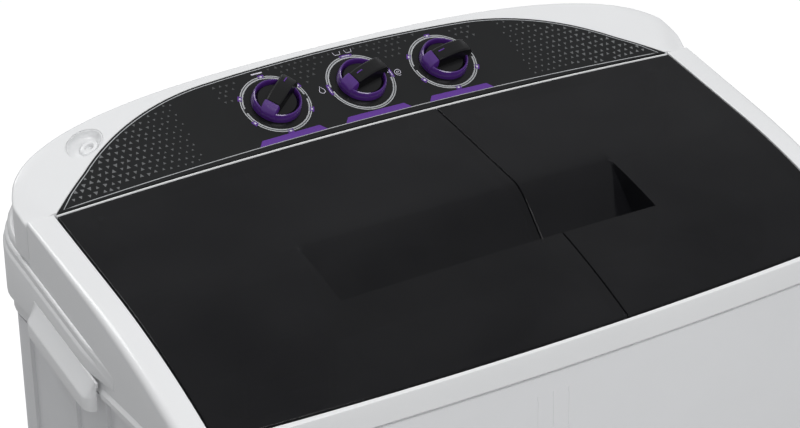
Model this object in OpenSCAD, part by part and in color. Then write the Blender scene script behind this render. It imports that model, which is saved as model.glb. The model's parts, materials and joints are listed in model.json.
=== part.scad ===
// Twin-tub top-load washing machine: a wash tub on the left, a spin tub on the right, two smoked
// lids and a sloping control console along the back.
// Frame: millimetres, +Z up, -Y towards the user, +X to the user's right.
// Origin: on the floor, under the middle of the body.

/* [Body] */
// Width over the cabinet side panels
cabinet_w = 754; // [744:2:764]
// Front face of the front band, at its corners
band_y = -200; // [-204:1:-196]
// Rear face of the top frame
back_y = 208; // [204:1:212]
// How far the front bows forward at the middle
front_bow = 15; // [8:1:20]
// Radius of the front corners in plan
front_r = 18; // [10:1:26]
// Radius of the rear corners in plan
back_r = 66; // [50:1:80]
// Wall thickness of the large mouldings
wall = 3; // [2.5:0.5:4]
// Height of the rubber feet
foot_h = 14; // [10:1:20]
// Top of the base plinth
plinth_top = 96; // [90:1:110]
// Top edge of the cabinet panels
cabinet_top = 749; // [745:1:753]

/* [Lids] */
// Half width of the two lids together
lid_half_w = 350; // [344:1:356]
// Rear line of the lids and front line of the control panel
lid_back_y = 104; // [102:1:106]
// Height of that line above the floor
lid_back_z = 860; // [850:1:880]
// Front edge of the lids at the corners
lid_front_y = -195; // [-197:1:-190]
// Slope of the flat rear part of the lids
lid_slope = 11.3; // [8:0.1:14]
// Length of the flat rear part
lid_flat = 115; // [90:1:140]
// Radius of the curved front part
lid_bend_r = 800; // [700:10:1000]
// Thickness of the lid mouldings
lid_t = 3; // [2.5:0.5:4]
// X of the gap between the two lids
seam_x = 66; // [60:1:72]
// Height of the hinge axis below the lid surface
hinge_drop = 9; // [8:0.5:10]
// Y of the hinge axis
hinge_y = 88; // [84:1:90]

/* [Console] */
// Half width of the console
console_half_w = 384; // [382:1:386]
// Slope of the control panel
panel_tilt = 27.5; // [24:0.5:30]
// Distance of the knob centres up the panel
knob_s = 62; // [58:1:66]
// Distance between neighbouring knobs
knob_pitch = 97; // [92:1:102]
// X of the middle knob
knob_x = 8; // [0:1:12]
// Outer radius of the knob skirt
knob_r = 27; // [24:1:30]
// Height of the knob grip above the panel
knob_h = 20; // [18:1:24]

/* [Tubs] */
// X of the wash axis
wash_x = -142; // [-144:1:-140]
// X of the spin axis
spin_x = 212; // [210:1:214]
// Y of both axes
axis_y = -45; // [-47:1:-43]
// Half width of the wash tub inside
wash_half_w = 186; // [180:1:188]
// Half depth of the wash tub inside
wash_half_d = 128; // [124:1:130]
// Inner radius of the wash tub corners
wash_corner_r = 84; // [70:1:90]
// Inside floor of the wash tub
wash_floor_z = 340; // [330:5:350]
// Radius of the pulsator
pulsator_r = 112; // [100:1:118]
// Inner radius of the spin drum casing
spin_tub_r = 132; // [128:1:134]
// Outer radius of the spin basket
basket_r = 116; // [112:1:118]
// Bottom of the spin basket
basket_z = 352; // [348:1:356]
// Top of the spin basket
basket_top = 700; // [690:1:706]

/* [Hidden] */
$fn = 48;

// Body
cabinet_half_w = cabinet_w / 2;
frame_half_w = cabinet_half_w + 2;
flange_half_w = frame_half_w + 5;
flange_drop = 47;
flange_z0 = 765;
flange_y0 = -60;
handle_out = 12;
handle_y0 = -34;
handle_y1 = 92;
handle_drop = 70;
cabinet_y0 = band_y + 4;
cover_t = 1.5;
cabinet_y1 = back_y - 2;
frame_z0 = cabinet_top;
plinth_z0 = foot_h;
foot_r = 22;
foot_x = cabinet_half_w - 52;
foot_y0 = cabinet_y0 + 40;
foot_y1 = cabinet_y1 - 52;
high = 1000;

// Deck under the lids
deck_z = cabinet_top + wall;
deck_gap = 2;
pocket_half_w = lid_half_w + deck_gap;
panel_bow = 8.7;
bend_y = lid_back_y - lid_flat;
bend_z = lid_back_z - lid_flat * tan(lid_slope);
scoop_x = 175;
scoop_y0 = -25;
scoop_y1 = -106;
scoop_deep = 38;
scoop_flat = 15;
hinge_z = lid_back_z - (lid_back_y - hinge_y) * tan(lid_slope) - hinge_drop;
pin_r = 3;
bore_r = pin_r + 0.05;
ear_r = 6;
ear_t = 6;
bracket_t = 10;
bracket_r = 5.4;
bracket_drop = 26;
side_gap = 1.5;
rear_gap = 5;

// Console
shelf_y = lid_back_y + 3;
shelf_z = 818;
shelf_slope = 17;
console_depth = 107;
console_power = 2.7;
fascia_t = 3;
panel_reach = 350;
panel_top_s = 112.4;
panel_top_r = 1825;
shoulder_r = 270;
shoulder_x = 126.4;
shoulder_s = -162.7;
shoulder_a0 = 41.5;
shoulder_a1 = 4.65;
inlet_x = -290;
inlet_s = 72;
inlet_r = 13.5;
spigot_r = 8;
spout_r = 9;
spout_z = 803;
shaft_r = 4;
timer_size = 52;
timer_depth = 34;

// Filter and overflow
filter_z = 560;
filter_h = 120;

// Drives
wash_shaft_r = 8;
input_shaft_r = 7;
run_gap = 0.05;
plate_z = 241;
plate_t = 4;
gearbox_r = 52;
gearbox_top = 318;
pulley_r = 78;
pulley_z = 222;
pulley_h = 18;
belt_h = 6;
motor_dx = -128;
motor_dy = 62;
motor_r = 58;
motor_top = 322;
small_pulley_r = 24;
spin_shaft_r = 9;
spin_floor_z = 320;
spin_motor_r = 62;
spin_motor_z = 112;
spin_motor_h = 98;
drum_r = 46;
drum_z = 222;
drum_h = 26;
brake_x = 150;
brake_y = axis_y - 50;
brake_z = 229;
drain_x = -13;
drain_y = 45;
drain_z = 62;
drain_r = 14;
wash_pipe_x = drain_x - 10;
wash_pipe_y = drain_y - 12;
spin_pipe_x = spin_x - 90;
spin_pipe_y = drain_y - 12;
spin_pipe_z = 91;
plunger_x = drain_x + 12;
plunger_y = drain_y + 12;
notch_y = 172;
gland_x = 280;
gland_z = 150;
gland_r = 9;
cord_r = 4;

// ---- Shared shapes ----

// Height of the lid surface at a given y
function bend_angle(y) = asin(sin(lid_slope) + (bend_y - y) / lid_bend_r);
function lid_z(y) = y > bend_y
  ? lid_back_z - (lid_back_y - y) * tan(lid_slope)
  : bend_z - lid_bend_r * (cos(lid_slope) - cos(bend_angle(y)));

// Points of an arc in the plane
function arc(cx, cy, r, a0, a1, n) = [
  for (i = [0 : n]) let (a = a0 + (a1 - a0) * i / n) [cx + r * cos(a), cy + r * sin(a)]
];

// Front line, bowed forward towards the middle
function bow(x, half, y, amount) = y - amount * (1 - pow(x / half, 2));

// Rounded body outline with a bowed front, pulled in by `inset` all round
function plan_points(half, y0, y1, r0, r1, amount) = let (yc = bow(half - r0, half, y0, amount) + r0)
  concat(
    [for (i = [0 : 14]) let (x = (i / 7 - 1) * (half - r0)) [x, bow(x, half, y0, amount)]],
    arc(half - r0, yc, r0, -84, 0, 5),
    arc(half - r1, y1 - r1, r1, 0, 90, 7),
    arc(r1 - half, y1 - r1, r1, 90, 180, 7),
    arc(r0 - half, yc, r0, 180, 264, 5)
  );

module body_plan(half, y0, y1, inset) {
  polygon(plan_points(half - inset, y0 + inset, y1 - inset, front_r - inset, back_r - inset, front_bow));
}

// Opening under the lids, grown by `grow`
module pocket_plan(grow) {
  half = pocket_half_w + grow;
  polygon(concat(
    [for (i = [-7 : 7]) [i / 7 * half, bow(i / 7 * half, half, lid_front_y - deck_gap - grow, front_bow)]],
    [for (i = [-7 : 7]) [-i / 7 * half, bow(i / 7 * half, half, lid_back_y + grow, -panel_bow)]]
  ));
}

// Turns a (y, z) section into a solid between two x positions
module along_x(x0, x1) {
  translate([x0, 0, 0])
    rotate([90, 0, 90])
      linear_extrude(x1 - x0)
        children();
}

// Section below the lid surface, lowered by `drop`, between two y positions
module under_lids(drop, y0, y1, floor_z) {
  steps = 18;
  polygon(concat(
    [[y0, floor_z]],
    [for (i = [0 : steps]) let (y = y0 + (y1 - y0) * i / steps) [y, lid_z(y) - drop]],
    [[y1, floor_z]]
  ));
}

function shelf_height(y) = shelf_z + (y - shelf_y) * tan(shelf_slope);

// Section of the frame: below the lid line in front, below the console shelf behind
module under_frame(drop) {
  under_lids(drop, band_y - 2 * front_bow, shelf_y, frame_z0 - 60);
  polygon([
    [shelf_y - 1, frame_z0 - 60],
    [shelf_y - 1, shelf_height(shelf_y - 1) - drop],
    [back_y + 4, shelf_height(back_y + 4) - drop],
    [back_y + 4, frame_z0 - 60]
  ]);
}

// Upright rounded rectangle
module rounded_block(x0, x1, y0, y1, r, z0, z1) {
  translate([0, 0, z0])
    linear_extrude(z1 - z0) {
      translate([x0 + r, y0]) square([x1 - x0 - 2 * r, y1 - y0]);
      translate([x0, y0 + r]) square([x1 - x0, y1 - y0 - 2 * r]);
      for (x = [x0 + r, x1 - r], y = [y0 + r, y1 - r])
        translate([x, y]) circle(r);
    }
}

module wash_block(grow, z0, z1) {
  half_w = wash_half_w + grow;
  half_d = wash_half_d + grow;
  rounded_block(wash_x - half_w, wash_x + half_w, axis_y - half_d, axis_y + half_d,
    wash_corner_r + grow, z0, z1);
}

module ring(r_out, r_in, z0, z1) {
  translate([0, 0, z0])
    difference() {
      cylinder(h = z1 - z0, r = r_out);
      translate([0, 0, -1]) cylinder(h = z1 - z0 + 2, r = r_in);
    }
}

// Places children on the control panel: x across, s up the slope, z along its normal
module on_panel(x, s) {
  translate([x, lid_back_y, lid_back_z])
    rotate([panel_tilt, 0, 0])
      translate([0, s, 0])
        children();
}

// Outline of the black control panel, in panel coordinates
function half_panel() = concat(
  arc(shoulder_x, shoulder_s, shoulder_r, 90 - shoulder_a0, 90 - shoulder_a1, 8),
  [for (i = [2 : -1 : 0]) let (a = i / 3 * shoulder_a1) [panel_top_r * sin(a),
    panel_top_s - panel_top_r * (1 - cos(a))]]
);

module panel_outline() {
  right = half_panel();
  count = len(right);
  polygon(concat(
    [for (i = [-6 : 6]) [i / 6 * panel_reach, (panel_bow / cos(panel_tilt)) * (1 - pow(i / 6, 2)) + 4]],
    right,
    [for (i = [count - 2 : -1 : 0]) [-right[i][0], right[i][1]]]
  ));
}

// ---- Body ----

// Space round the drain outlet, open at the back
module drain_notch() {
  translate([drain_x - 46, notch_y, plinth_z0 + 18]) cube([92, 60, plinth_top - plinth_z0 - 24]);
}

module base_pan() {
  color("gainsboro") difference() {
    union() {
      translate([0, 0, plinth_z0])
        linear_extrude(plinth_top - plinth_z0)
          body_plan(cabinet_half_w, cabinet_y0, cabinet_y1, 0);
      translate([0, 0, plinth_top])
        linear_extrude(12)
          body_plan(cabinet_half_w, cabinet_y0, cabinet_y1, wall + 0.5);
    }
    translate([0, 0, plinth_z0 + 2 * wall])
      linear_extrude(high)
        body_plan(cabinet_half_w, cabinet_y0, cabinet_y1, 2 * wall + 0.5);
    drain_notch();
  }
  // Pocket wall round the drain outlet
  color("gainsboro") difference() {
    translate([drain_x - 50, notch_y - wall, plinth_z0 + wall])
      cube([100, cabinet_y1 - notch_y, plinth_top - plinth_z0 - wall]);
    drain_notch();
    translate([drain_x, notch_y, drain_z]) rotate([90, 0, 0])
      cylinder(h = 40, r = drain_r + 1.5, center = true);
  }
}

module rubber_feet() {
  color("dimgray")
    for (x = [-foot_x, foot_x], y = [foot_y0, foot_y1])
      translate([x, y, 0]) {
        cylinder(h = 6, r1 = foot_r - 2, r2 = foot_r);
        translate([0, 0, 6]) cylinder(h = foot_h - 6, r = foot_r);
      }
}

module cabinet_shell() {
  groove_ys = [[-150, -132], [-54, -38], [14, 30], [80, 128]];
  color("whitesmoke") difference() {
    translate([0, 0, plinth_top])
      linear_extrude(cabinet_top - plinth_top)
        body_plan(cabinet_half_w, cabinet_y0, cabinet_y1, 0);
    translate([0, 0, plinth_top - 1])
      linear_extrude(high)
        body_plan(cabinet_half_w, cabinet_y0, cabinet_y1, wall);
    for (side = [-1, 1], g = groove_ys)
      translate([side * cabinet_half_w - 1.2, g[0], plinth_top + 30])
        cube([2.4, g[1] - g[0], cabinet_top - plinth_top]);
    translate([-210, cabinet_y1 - wall - 1, 140]) cube([420, wall + 2, 480]);
    cover_screw_places() cylinder(h = 12, r = 2);
    translate([gland_x, cabinet_y1, gland_z]) rotate([90, 0, 0])
      cylinder(h = 20, r = gland_r, center = true);
  }
}

// Positions of the service cover's screws
module cover_screw_places() {
  for (x = [-217, 217], z = [133, 380, 627])
    translate([x, cabinet_y1 + cover_t, z])
      rotate([90, 0, 0])
        children();
}

module back_cover() {
  color("lightgray") difference() {
    translate([-225, cabinet_y1, 125]) cube([450, cover_t, 510]);
    for (i = [0 : 7])
      translate([-120, cabinet_y1 - 1, 180 + i * 16]) cube([240, 4, 6]);
    cover_screw_places() translate([0, 0, -1]) cylinder(h = 8, r = 2);
  }
}

module back_cover_screws() {
  color("silver")
    cover_screw_places() {
      cylinder(h = 8, r = 2);
      translate([0, 0, -1.4]) cylinder(h = 1.4, r = 5);
    }
}

// Skirt, rails, front band and deck in one moulding
module top_frame() {
  color("white") {
    // Outer skirt
    intersection() {
      difference() {
        translate([0, 0, frame_z0]) linear_extrude(high) body_plan(frame_half_w, band_y, back_y, 0);
        translate([0, 0, frame_z0 - 1]) linear_extrude(high) body_plan(frame_half_w, band_y, back_y, wall);
      }
      along_x(-frame_half_w, frame_half_w) under_frame(0);
    }
    // Top skin of the rails, band and console shelf
    intersection() {
      difference() {
        translate([0, 0, deck_z]) linear_extrude(high) body_plan(frame_half_w, band_y, back_y, 1);
        translate([0, 0, deck_z - 1]) linear_extrude(high) pocket_plan(0);
        translate([-300, 128, deck_z]) cube([600, 56, high]);
      }
      difference() {
        along_x(-frame_half_w, frame_half_w) under_frame(0);
        along_x(-frame_half_w - 1, frame_half_w + 1) under_frame(wall);
      }
    }
    // Wall round the lid pocket, with a hole for the water spout
    intersection() {
      difference() {
        translate([0, 0, deck_z - wall])
          linear_extrude(high)
            difference() {
              pocket_plan(wall);
              pocket_plan(0);
            }
        translate([inlet_x, lid_back_y, spout_z]) rotate([90, 0, 0])
          cylinder(h = 30, r = spout_r + 0.5, center = true);
      }
      along_x(-frame_half_w, frame_half_w) under_lids(0.6, band_y - 2 * front_bow, 120, deck_z - 60);
    }
    // Deck with the two tub openings
    difference() {
      translate([0, 0, deck_z - wall]) linear_extrude(wall) pocket_plan(wall);
      wash_block(-8, deck_z - 10, deck_z + 10);
      translate([spin_x, axis_y, deck_z - 10]) cylinder(h = 20, r = basket_r + 2);
    }
    // Raised side flanges
    for (side = [-1, 1])
      intersection() {
        difference() {
          translate([0, 0, flange_z0]) linear_extrude(high) body_plan(flange_half_w, band_y, back_y + 1, 0);
          translate([0, 0, flange_z0 - 1]) linear_extrude(high) body_plan(frame_half_w, band_y, back_y, 1);
        }
        along_x(-flange_half_w, flange_half_w) under_lids(flange_drop, flange_y0, back_y - 30, flange_z0);
        translate([side > 0 ? 100 : -500, -300, 0]) cube([400, 600, high]);
      }
  }
}

// Carrying handle on one side: a sloping ledge with a lip and a finger hollow below
module handle(x0) {
  x1 = x0 + handle_out;
  color("white") difference() {
    along_x(x0, x1) under_lids(handle_drop, handle_y0, handle_y1, 600);
    along_x(x0 - 1, x1 + 1) under_lids(handle_drop + 28, handle_y0 - 1, handle_y1 + 1, 590);
    along_x(x0 - 1, x1 - 3.5) under_lids(handle_drop + 8, handle_y0 + 4, handle_y1 - 4, 590);
  }
}

module handle_left() {
  mirror([1, 0, 0]) handle(flange_half_w);
}

module handle_right() {
  handle(flange_half_w);
}

// ---- Console ----

// Plan outline of the console: a broad arch that meets the rails at both ends
function arch_y(x, half, depth) = lid_back_y + depth * pow(max(0, 1 - pow(abs(x) / half,
  console_power)), 1 / console_power);

module console_plan(inset) {
  half = console_half_w - inset;
  depth = console_depth - inset;
  polygon(concat(
    [for (i = [-8 : 8]) let (x = i / 8 * half) [x, bow(x, half,
      lid_back_y + wall + 0.3 + inset, -panel_bow)]],
    [for (a = [3 : 3 : 177]) let (x = half * sign(cos(a)) * pow(abs(cos(a)), 0.75)) [x, arch_y(x, half,
      depth)]]
  ));
}

// Section of the console: the sloping panel plane above the frame's shelf, lowered by `drop`
module console_section(drop) {
  y0 = lid_back_y - 4;
  y1 = back_y + 10;
  polygon([
    [y0, shelf_height(y0) + 0.2],
    [y1, shelf_height(y1) + 0.2],
    [y1, lid_back_z + (y1 - lid_back_y) * tan(panel_tilt) - drop],
    [y0, lid_back_z + (y0 - lid_back_y) * tan(panel_tilt) - drop]
  ]);
}

module console_housing() {
  color("white") difference() {
    intersection() {
      linear_extrude(high) console_plan(0);
      along_x(-console_half_w, console_half_w) console_section(0);
    }
    intersection() {
      linear_extrude(high) console_plan(wall);
      along_x(-console_half_w, console_half_w) translate([0, -0.5]) console_section(wall + fascia_t);
    }
    intersection() {
      linear_extrude(high) console_plan(wall);
      translate([0, 0, -1]) along_x(-console_half_w, console_half_w) console_section(60);
    }
    on_panel(0, 0) translate([0, 0, -fascia_t]) linear_extrude(10) panel_outline();
    for (i = [-1 : 1])
      on_panel(knob_x + i * knob_pitch, knob_s)
        translate([0, 0, -20]) cylinder(h = 40, r = 12);
    on_panel(inlet_x, inlet_s) translate([0, 0, -20]) cylinder(h = 40, r = inlet_r);
  }
}

module control_fascia() {
  color("#202124") difference() {
    on_panel(0, 0) translate([0, 0, -fascia_t]) linear_extrude(fascia_t) panel_outline();
    for (i = [-1 : 1])
      on_panel(knob_x + i * knob_pitch, knob_s)
        translate([0, 0, -20]) cylinder(h = 40, r = 6);
  }
}

// Cup sunk into the console with a hose spigot in it
module inlet_fitting() {
  color("white") on_panel(inlet_x, inlet_s) difference() {
    translate([0, 0, -14]) cylinder(h = 14, r = inlet_r);
    difference() {
      translate([0, 0, -11]) cylinder(h = 20, r = inlet_r - 2);
      translate([0, 0, -12]) cylinder(h = 11, r = spigot_r);
    }
    translate([0, 0, -30]) cylinder(h = 60, r = spigot_r - 4);
  }
}

// Pipe from the inlet down to the spout above the wash tub
module fill_pipe() {
  y = lid_back_y + inlet_s * cos(panel_tilt) + 14 * sin(panel_tilt);
  z = lid_back_z + inlet_s * sin(panel_tilt) - 14 * cos(panel_tilt);
  color("gray") difference() {
    union() {
      translate([inlet_x, y, spout_z]) cylinder(h = z - spout_z - 6, r = spout_r);
      translate([inlet_x, y, spout_z]) sphere(r = spout_r);
      translate([inlet_x, lid_back_y + 2, spout_z]) rotate([-90, 0, 0])
        cylinder(h = y - lid_back_y - 2, r = spout_r);
    }
    translate([inlet_x, y, spout_z]) cylinder(h = 100, r = spout_r - 3);
    translate([inlet_x, lid_back_y - 1, spout_z]) rotate([-90, 0, 0])
      cylinder(h = y - lid_back_y + 1, r = spout_r - 3);
  }
}

// Timer or selector box behind the panel; its shaft hole takes the knob's shaft
module timer_unit(i, deep) {
  color("dimgray") on_panel(knob_x + i * knob_pitch, knob_s) difference() {
    union() {
      translate([-timer_size / 2, -timer_size / 2, -fascia_t - wall - deep - 4])
        cube([timer_size, timer_size, deep]);
      translate([0, 0, -fascia_t - wall - 4.5]) cylinder(h = 4, r = 10);
    }
    translate([0, 0, -fascia_t - wall - 20]) cylinder(h = 40, r = shaft_r + run_gap);
  }
}

module wash_timer() {
  timer_unit(-1, timer_depth);
}

module program_selector() {
  timer_unit(0, timer_depth - 10);
}

module spin_timer() {
  timer_unit(1, timer_depth - 4);
}

module knob_skirt(i) {
  color("rebeccapurple") on_panel(knob_x + i * knob_pitch, knob_s) difference() {
    union() {
      translate([0, 0, 0.6]) cylinder(h = 5, r = knob_r);
      translate([0, 0, 5.6]) cylinder(h = 6, r1 = knob_r - 1, r2 = knob_r - 4);
    }
    translate([0, 0, 3]) cylinder(h = 20, r = knob_r - 8);
    translate([0, 0, -1]) cylinder(h = 20, r = shaft_r);
  }
}

// Grip bar across the knob with its shaft; angle is where the pointer end aims
module knob_grip(i, angle) {
  color("#18181a") on_panel(knob_x + i * knob_pitch, knob_s) rotate([0, 0, angle]) {
    translate([0, 0, -fascia_t - wall - 16]) cylinder(h = 26, r = shaft_r);
    translate([0, 0, 3]) cylinder(h = 6, r = knob_r - 8.4);
    translate([0, 0, 8]) intersection() {
      cylinder(h = knob_h - 8, r1 = knob_r - 8.6, r2 = knob_r - 10);
      translate([-knob_r, -8, 0]) cube([2 * knob_r, 16, knob_h]);
    }
    translate([0, -6, 12]) cube([knob_r + 1, 12, knob_h - 14]);
  }
}

module wash_knob_skirt() {
  knob_skirt(-1);
}

module wash_knob_grip() {
  knob_grip(-1, 38);
}

module selector_knob_skirt() {
  knob_skirt(0);
}

module selector_knob_grip() {
  knob_grip(0, 16);
}

module spin_knob_skirt() {
  knob_skirt(1);
}

module spin_knob_grip() {
  knob_grip(1, 7);
}

// ---- Tubs ----

module wash_tub() {
  color("aliceblue") difference() {
    union() {
      wash_block(wall, wash_floor_z - 4, deck_z - wall);
      wash_block(wall + 6, deck_z - wall - 4, deck_z - wall);
    }
    wash_block(0, wash_floor_z, high);
    translate([wash_x, axis_y, wash_floor_z - 10]) cylinder(h = 20, r = wash_shaft_r + 4);
    translate([wash_pipe_x, wash_pipe_y, wash_floor_z - 10]) cylinder(h = 20, r = 10);
  }
}

module spin_tub() {
  color("aliceblue") difference() {
    translate([spin_x, axis_y, 0]) union() {
      ring(spin_tub_r + wall, spin_tub_r, spin_floor_z, deck_z - wall);
      ring(spin_tub_r + wall, 30, spin_floor_z, spin_floor_z + 4);
    }
    translate([spin_pipe_x, spin_pipe_y, spin_floor_z - 10]) cylinder(h = 20, r = 8);
  }
}

// Bellows seal in the casing floor, round the spin shaft
module spin_shaft_seal() {
  color("#333333") translate([spin_x, axis_y, 0]) {
    ring(34, 30.5, spin_floor_z + 4, spin_floor_z + 12);
    ring(34, spin_shaft_r + run_gap, spin_floor_z + 12, spin_floor_z + 15);
    ring(29.8, 24, spin_floor_z - 8, spin_floor_z + 12);
  }
}

// Posts on the rear wall of the lid pocket that hold the lids' pins
module hinge_brackets() {
  color("white") difference() {
    for (x = hinge_brackets_x()) {
      translate([x, hinge_y, hinge_z]) rotate([0, 90, 0])
        cylinder(h = bracket_t, r = bracket_r, center = true);
      translate([x - bracket_t / 2, hinge_y - bracket_r, hinge_z - bracket_drop - 10])
        cube([bracket_t, 2 * bracket_r, bracket_drop + 10]);
      translate([x - bracket_t / 2, hinge_y - bracket_r, hinge_z - bracket_drop - 10])
        cube([bracket_t, lid_back_y - hinge_y + bracket_r, 10]);
    }
    for (x = hinge_brackets_x())
      translate([x, hinge_y, hinge_z]) rotate([0, 90, 0])
        cylinder(h = 3 * bracket_t, r = bore_r, center = true);
  }
}

function hinge_brackets_x() = [-lid_half_w + 26, seam_x - 26, seam_x + 26, lid_half_w - 26];

module filter_bracket() {
  y1 = axis_y + wash_half_d;
  color("lightsteelblue") {
    translate([wash_x - 50, y1 - 5, filter_z]) cube([100, 5, filter_h - 26]);
    for (x = [wash_x - 50, wash_x + 45])
      translate([x, y1 - 26, filter_z]) cube([5, 22, filter_h - 26]);
    translate([wash_x - 50, y1 - 26, filter_z - 4]) cube([100, 26, 4]);
  }
}

// Lint filter that lifts out of its bracket
module lint_filter() {
  y0 = axis_y + wash_half_d - 26;
  color("mediumpurple") difference() {
    translate([wash_x - 44, y0, filter_z + 0.3]) cube([88, 16, filter_h]);
    translate([wash_x - 40, y0 + 3, filter_z + 6]) cube([80, 10, filter_h]);
    for (i = [0 : 4])
      translate([wash_x - 34, y0 - 1, filter_z + 16 + i * 18]) cube([68, 5, 8]);
  }
}

// Ribbed cover over the overflow path on the rear wall of the wash tub
module overflow_cover() {
  x0 = wash_x + 62;
  color("lightsteelblue") difference() {
    translate([x0, axis_y + wash_half_d - 12, 480]) cube([36, 12, 200]);
    for (i = [0 : 7])
      translate([x0 + 5, axis_y + wash_half_d - 13, 495 + i * 20]) cube([26, 6, 8]);
  }
}

module pulsator() {
  color("lightskyblue") translate([wash_x, axis_y, 0]) difference() {
    union() {
      translate([0, 0, wash_floor_z + 3]) cylinder(h = 8, r = pulsator_r);
      translate([0, 0, wash_floor_z + 11]) cylinder(h = 14, r1 = pulsator_r - 6, r2 = 34);
      for (a = [0 : 60 : 300])
        rotate([0, 0, a]) translate([20, -5, wash_floor_z + 8]) cube([pulsator_r - 28, 10, 22]);
      translate([0, 0, wash_floor_z + 11]) cylinder(h = 24, r = 30);
      translate([0, 0, gearbox_top - 40]) cylinder(h = wash_floor_z - gearbox_top + 50, r = wash_shaft_r);
    }
    translate([0, 0, wash_floor_z + 29]) cylinder(h = 20, r = 12);
  }
}

module pulsator_cap() {
  color("slateblue") translate([wash_x, axis_y, wash_floor_z + 29]) cylinder(h = 9, r = 12);
}

// ---- Drives ----

module wash_gearbox() {
  color("darkgray") translate([wash_x, axis_y, 0]) difference() {
    union() {
      translate([0, 0, plate_z + plate_t]) cylinder(h = gearbox_top - plate_z - plate_t, r = gearbox_r);
      translate([0, 0, gearbox_top]) cylinder(h = wash_floor_z - 4 - gearbox_top, r = 24);
      translate([0, 0, 270]) cylinder(h = 8, r = gearbox_r + 10);
    }
    translate([0, 0, gearbox_top - 44]) cylinder(h = 100, r = wash_shaft_r + run_gap);
    translate([0, 0, plate_z - 5]) cylinder(h = 26, r = input_shaft_r + run_gap);
  }
}

// Steel plate under the wash tub, hung on four posts
module drive_plate() {
  posts = [[-150, -85], [80, -85], [80, 95], [-40, 105]];
  color("silver") difference() {
    union() {
      rounded_block(-325, -45, -148, 82, 20, plate_z, plate_z + plate_t);
      for (p = posts)
        translate([wash_x + p[0], axis_y + p[1], plate_z]) cylinder(h = wash_floor_z - 4 - plate_z, r = 8);
    }
    translate([wash_x, axis_y, plate_z - 5]) cylinder(h = 20, r = 20);
    translate([wash_x + motor_dx, axis_y + motor_dy, plate_z - 5]) cylinder(h = 20, r = 16);
  }
}

module pulley(r, groove) {
  rotate_extrude()
    polygon([
      [0, 0], [r, 0], [r, 4], [groove, 6], [groove, pulley_h - 6], [r, pulley_h - 4], [r, pulley_h], [0,
        pulley_h]
    ]);
}

module gearbox_pulley() {
  color("dimgray") translate([wash_x, axis_y, pulley_z - 2]) {
    difference() {
      pulley(pulley_r, pulley_r - 6);
      for (a = [0 : 60 : 300])
        rotate([0, 0, a]) translate([44, 0, -1]) cylinder(h = pulley_h + 2, r = 13);
    }
    cylinder(h = plate_z - pulley_z + 18, r = input_shaft_r);
  }
}

module motor_pulley() {
  color("dimgray") translate([wash_x + motor_dx, axis_y + motor_dy, pulley_z - 2]) {
    pulley(small_pulley_r, small_pulley_r - 6);
    cylinder(h = plate_z - pulley_z + 30, r = input_shaft_r);
  }
}

module belt_outline(gap) {
  hull() {
    translate([wash_x, axis_y]) circle(r = pulley_r - 6 + gap, $fn = 32);
    translate([wash_x + motor_dx, axis_y + motor_dy]) circle(r = small_pulley_r - 6 + gap, $fn = 32);
  }
}

module drive_belt() {
  color("#222222") translate([0, 0, pulley_z - 2 + (pulley_h - belt_h) / 2 + 0.5])
    linear_extrude(belt_h - 1)
      difference() {
        belt_outline(6);
        belt_outline(1);
      }
}

// Motor can with end bells, cooling ribs and a bore for its shaft
module motor(r, z0, h, bore) {
  difference() {
    union() {
      translate([0, 0, z0 + 0.2 * h]) cylinder(h = 0.6 * h, r = r - 3);
      translate([0, 0, z0]) cylinder(h = 0.2 * h, r1 = r - 10, r2 = r);
      translate([0, 0, z0 + 0.8 * h]) cylinder(h = 0.2 * h, r1 = r, r2 = r - 10);
      for (a = [0 : 45 : 315])
        rotate([0, 0, a]) translate([r - 8, -3, z0 + 0.2 * h - 2]) cube([7, 6, 0.6 * h + 4]);
    }
    if (bore > 0)
      children();
  }
}

module wash_motor() {
  z0 = plate_z + plate_t;
  color("slategray") translate([wash_x + motor_dx, axis_y + motor_dy, 0])
    motor(motor_r, z0, motor_top - z0, input_shaft_r)
      translate([0, 0, z0 - 10]) cylinder(h = 50, r = input_shaft_r + run_gap);
}

module spin_motor() {
  color("slategray") translate([spin_x, axis_y, 0])
    motor(spin_motor_r, spin_motor_z, spin_motor_h, spin_shaft_r)
      translate([0, 0, spin_motor_z + 30]) cylinder(h = 120, r = spin_shaft_r + run_gap);
}

module spin_motor_plate() {
  color("silver") translate([spin_x, axis_y, spin_motor_z - 5]) difference() {
    cylinder(h = 5, r = spin_motor_r + 14);
    translate([0, 0, -1]) cylinder(h = 7, r = 24);
  }
}

// Three rubber-sleeved springs between the base and the motor plate
module spin_motor_springs() {
  z0 = plinth_z0 + 2 * wall;
  z1 = spin_motor_z - 5;
  color("#2b2b2b")
    for (a = [90 : 120 : 330])
      translate([spin_x + 58 * cos(a), axis_y + 58 * sin(a), 0]) {
        translate([0, 0, z0]) cylinder(h = z1 - z0, r = 10);
        for (i = [0 : 4])
          translate([0, 0, z0 + 8 + i * 15]) cylinder(h = 7, r = 13);
      }
}

module spin_shaft() {
  color("silver") translate([spin_x, axis_y, 0]) {
    translate([0, 0, spin_motor_z + 40]) cylinder(h = basket_z - spin_motor_z - 40, r = spin_shaft_r);
    translate([0, 0, drum_z]) cylinder(h = drum_h, r = drum_r);
  }
}

module spin_basket() {
  color("whitesmoke") translate([spin_x, axis_y, 0]) difference() {
    union() {
      ring(basket_r, basket_r - 2.5, basket_z, basket_top - 22);
      translate([0, 0, basket_z]) cylinder(h = 4, r = basket_r);
      translate([0, 0, basket_z + 4]) cylinder(h = 22, r1 = 40, r2 = 26);
    }
    for (k = [0 : 3], a = [0 : 30 : 330])
      rotate([0, 0, a + 15 * (k % 2)])
        translate([basket_r - 8, 0, basket_z + 50 + k * 75])
          rotate([0, 90, 0]) cylinder(h = 16, r = 4, $fn = 16);
  }
}

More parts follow.
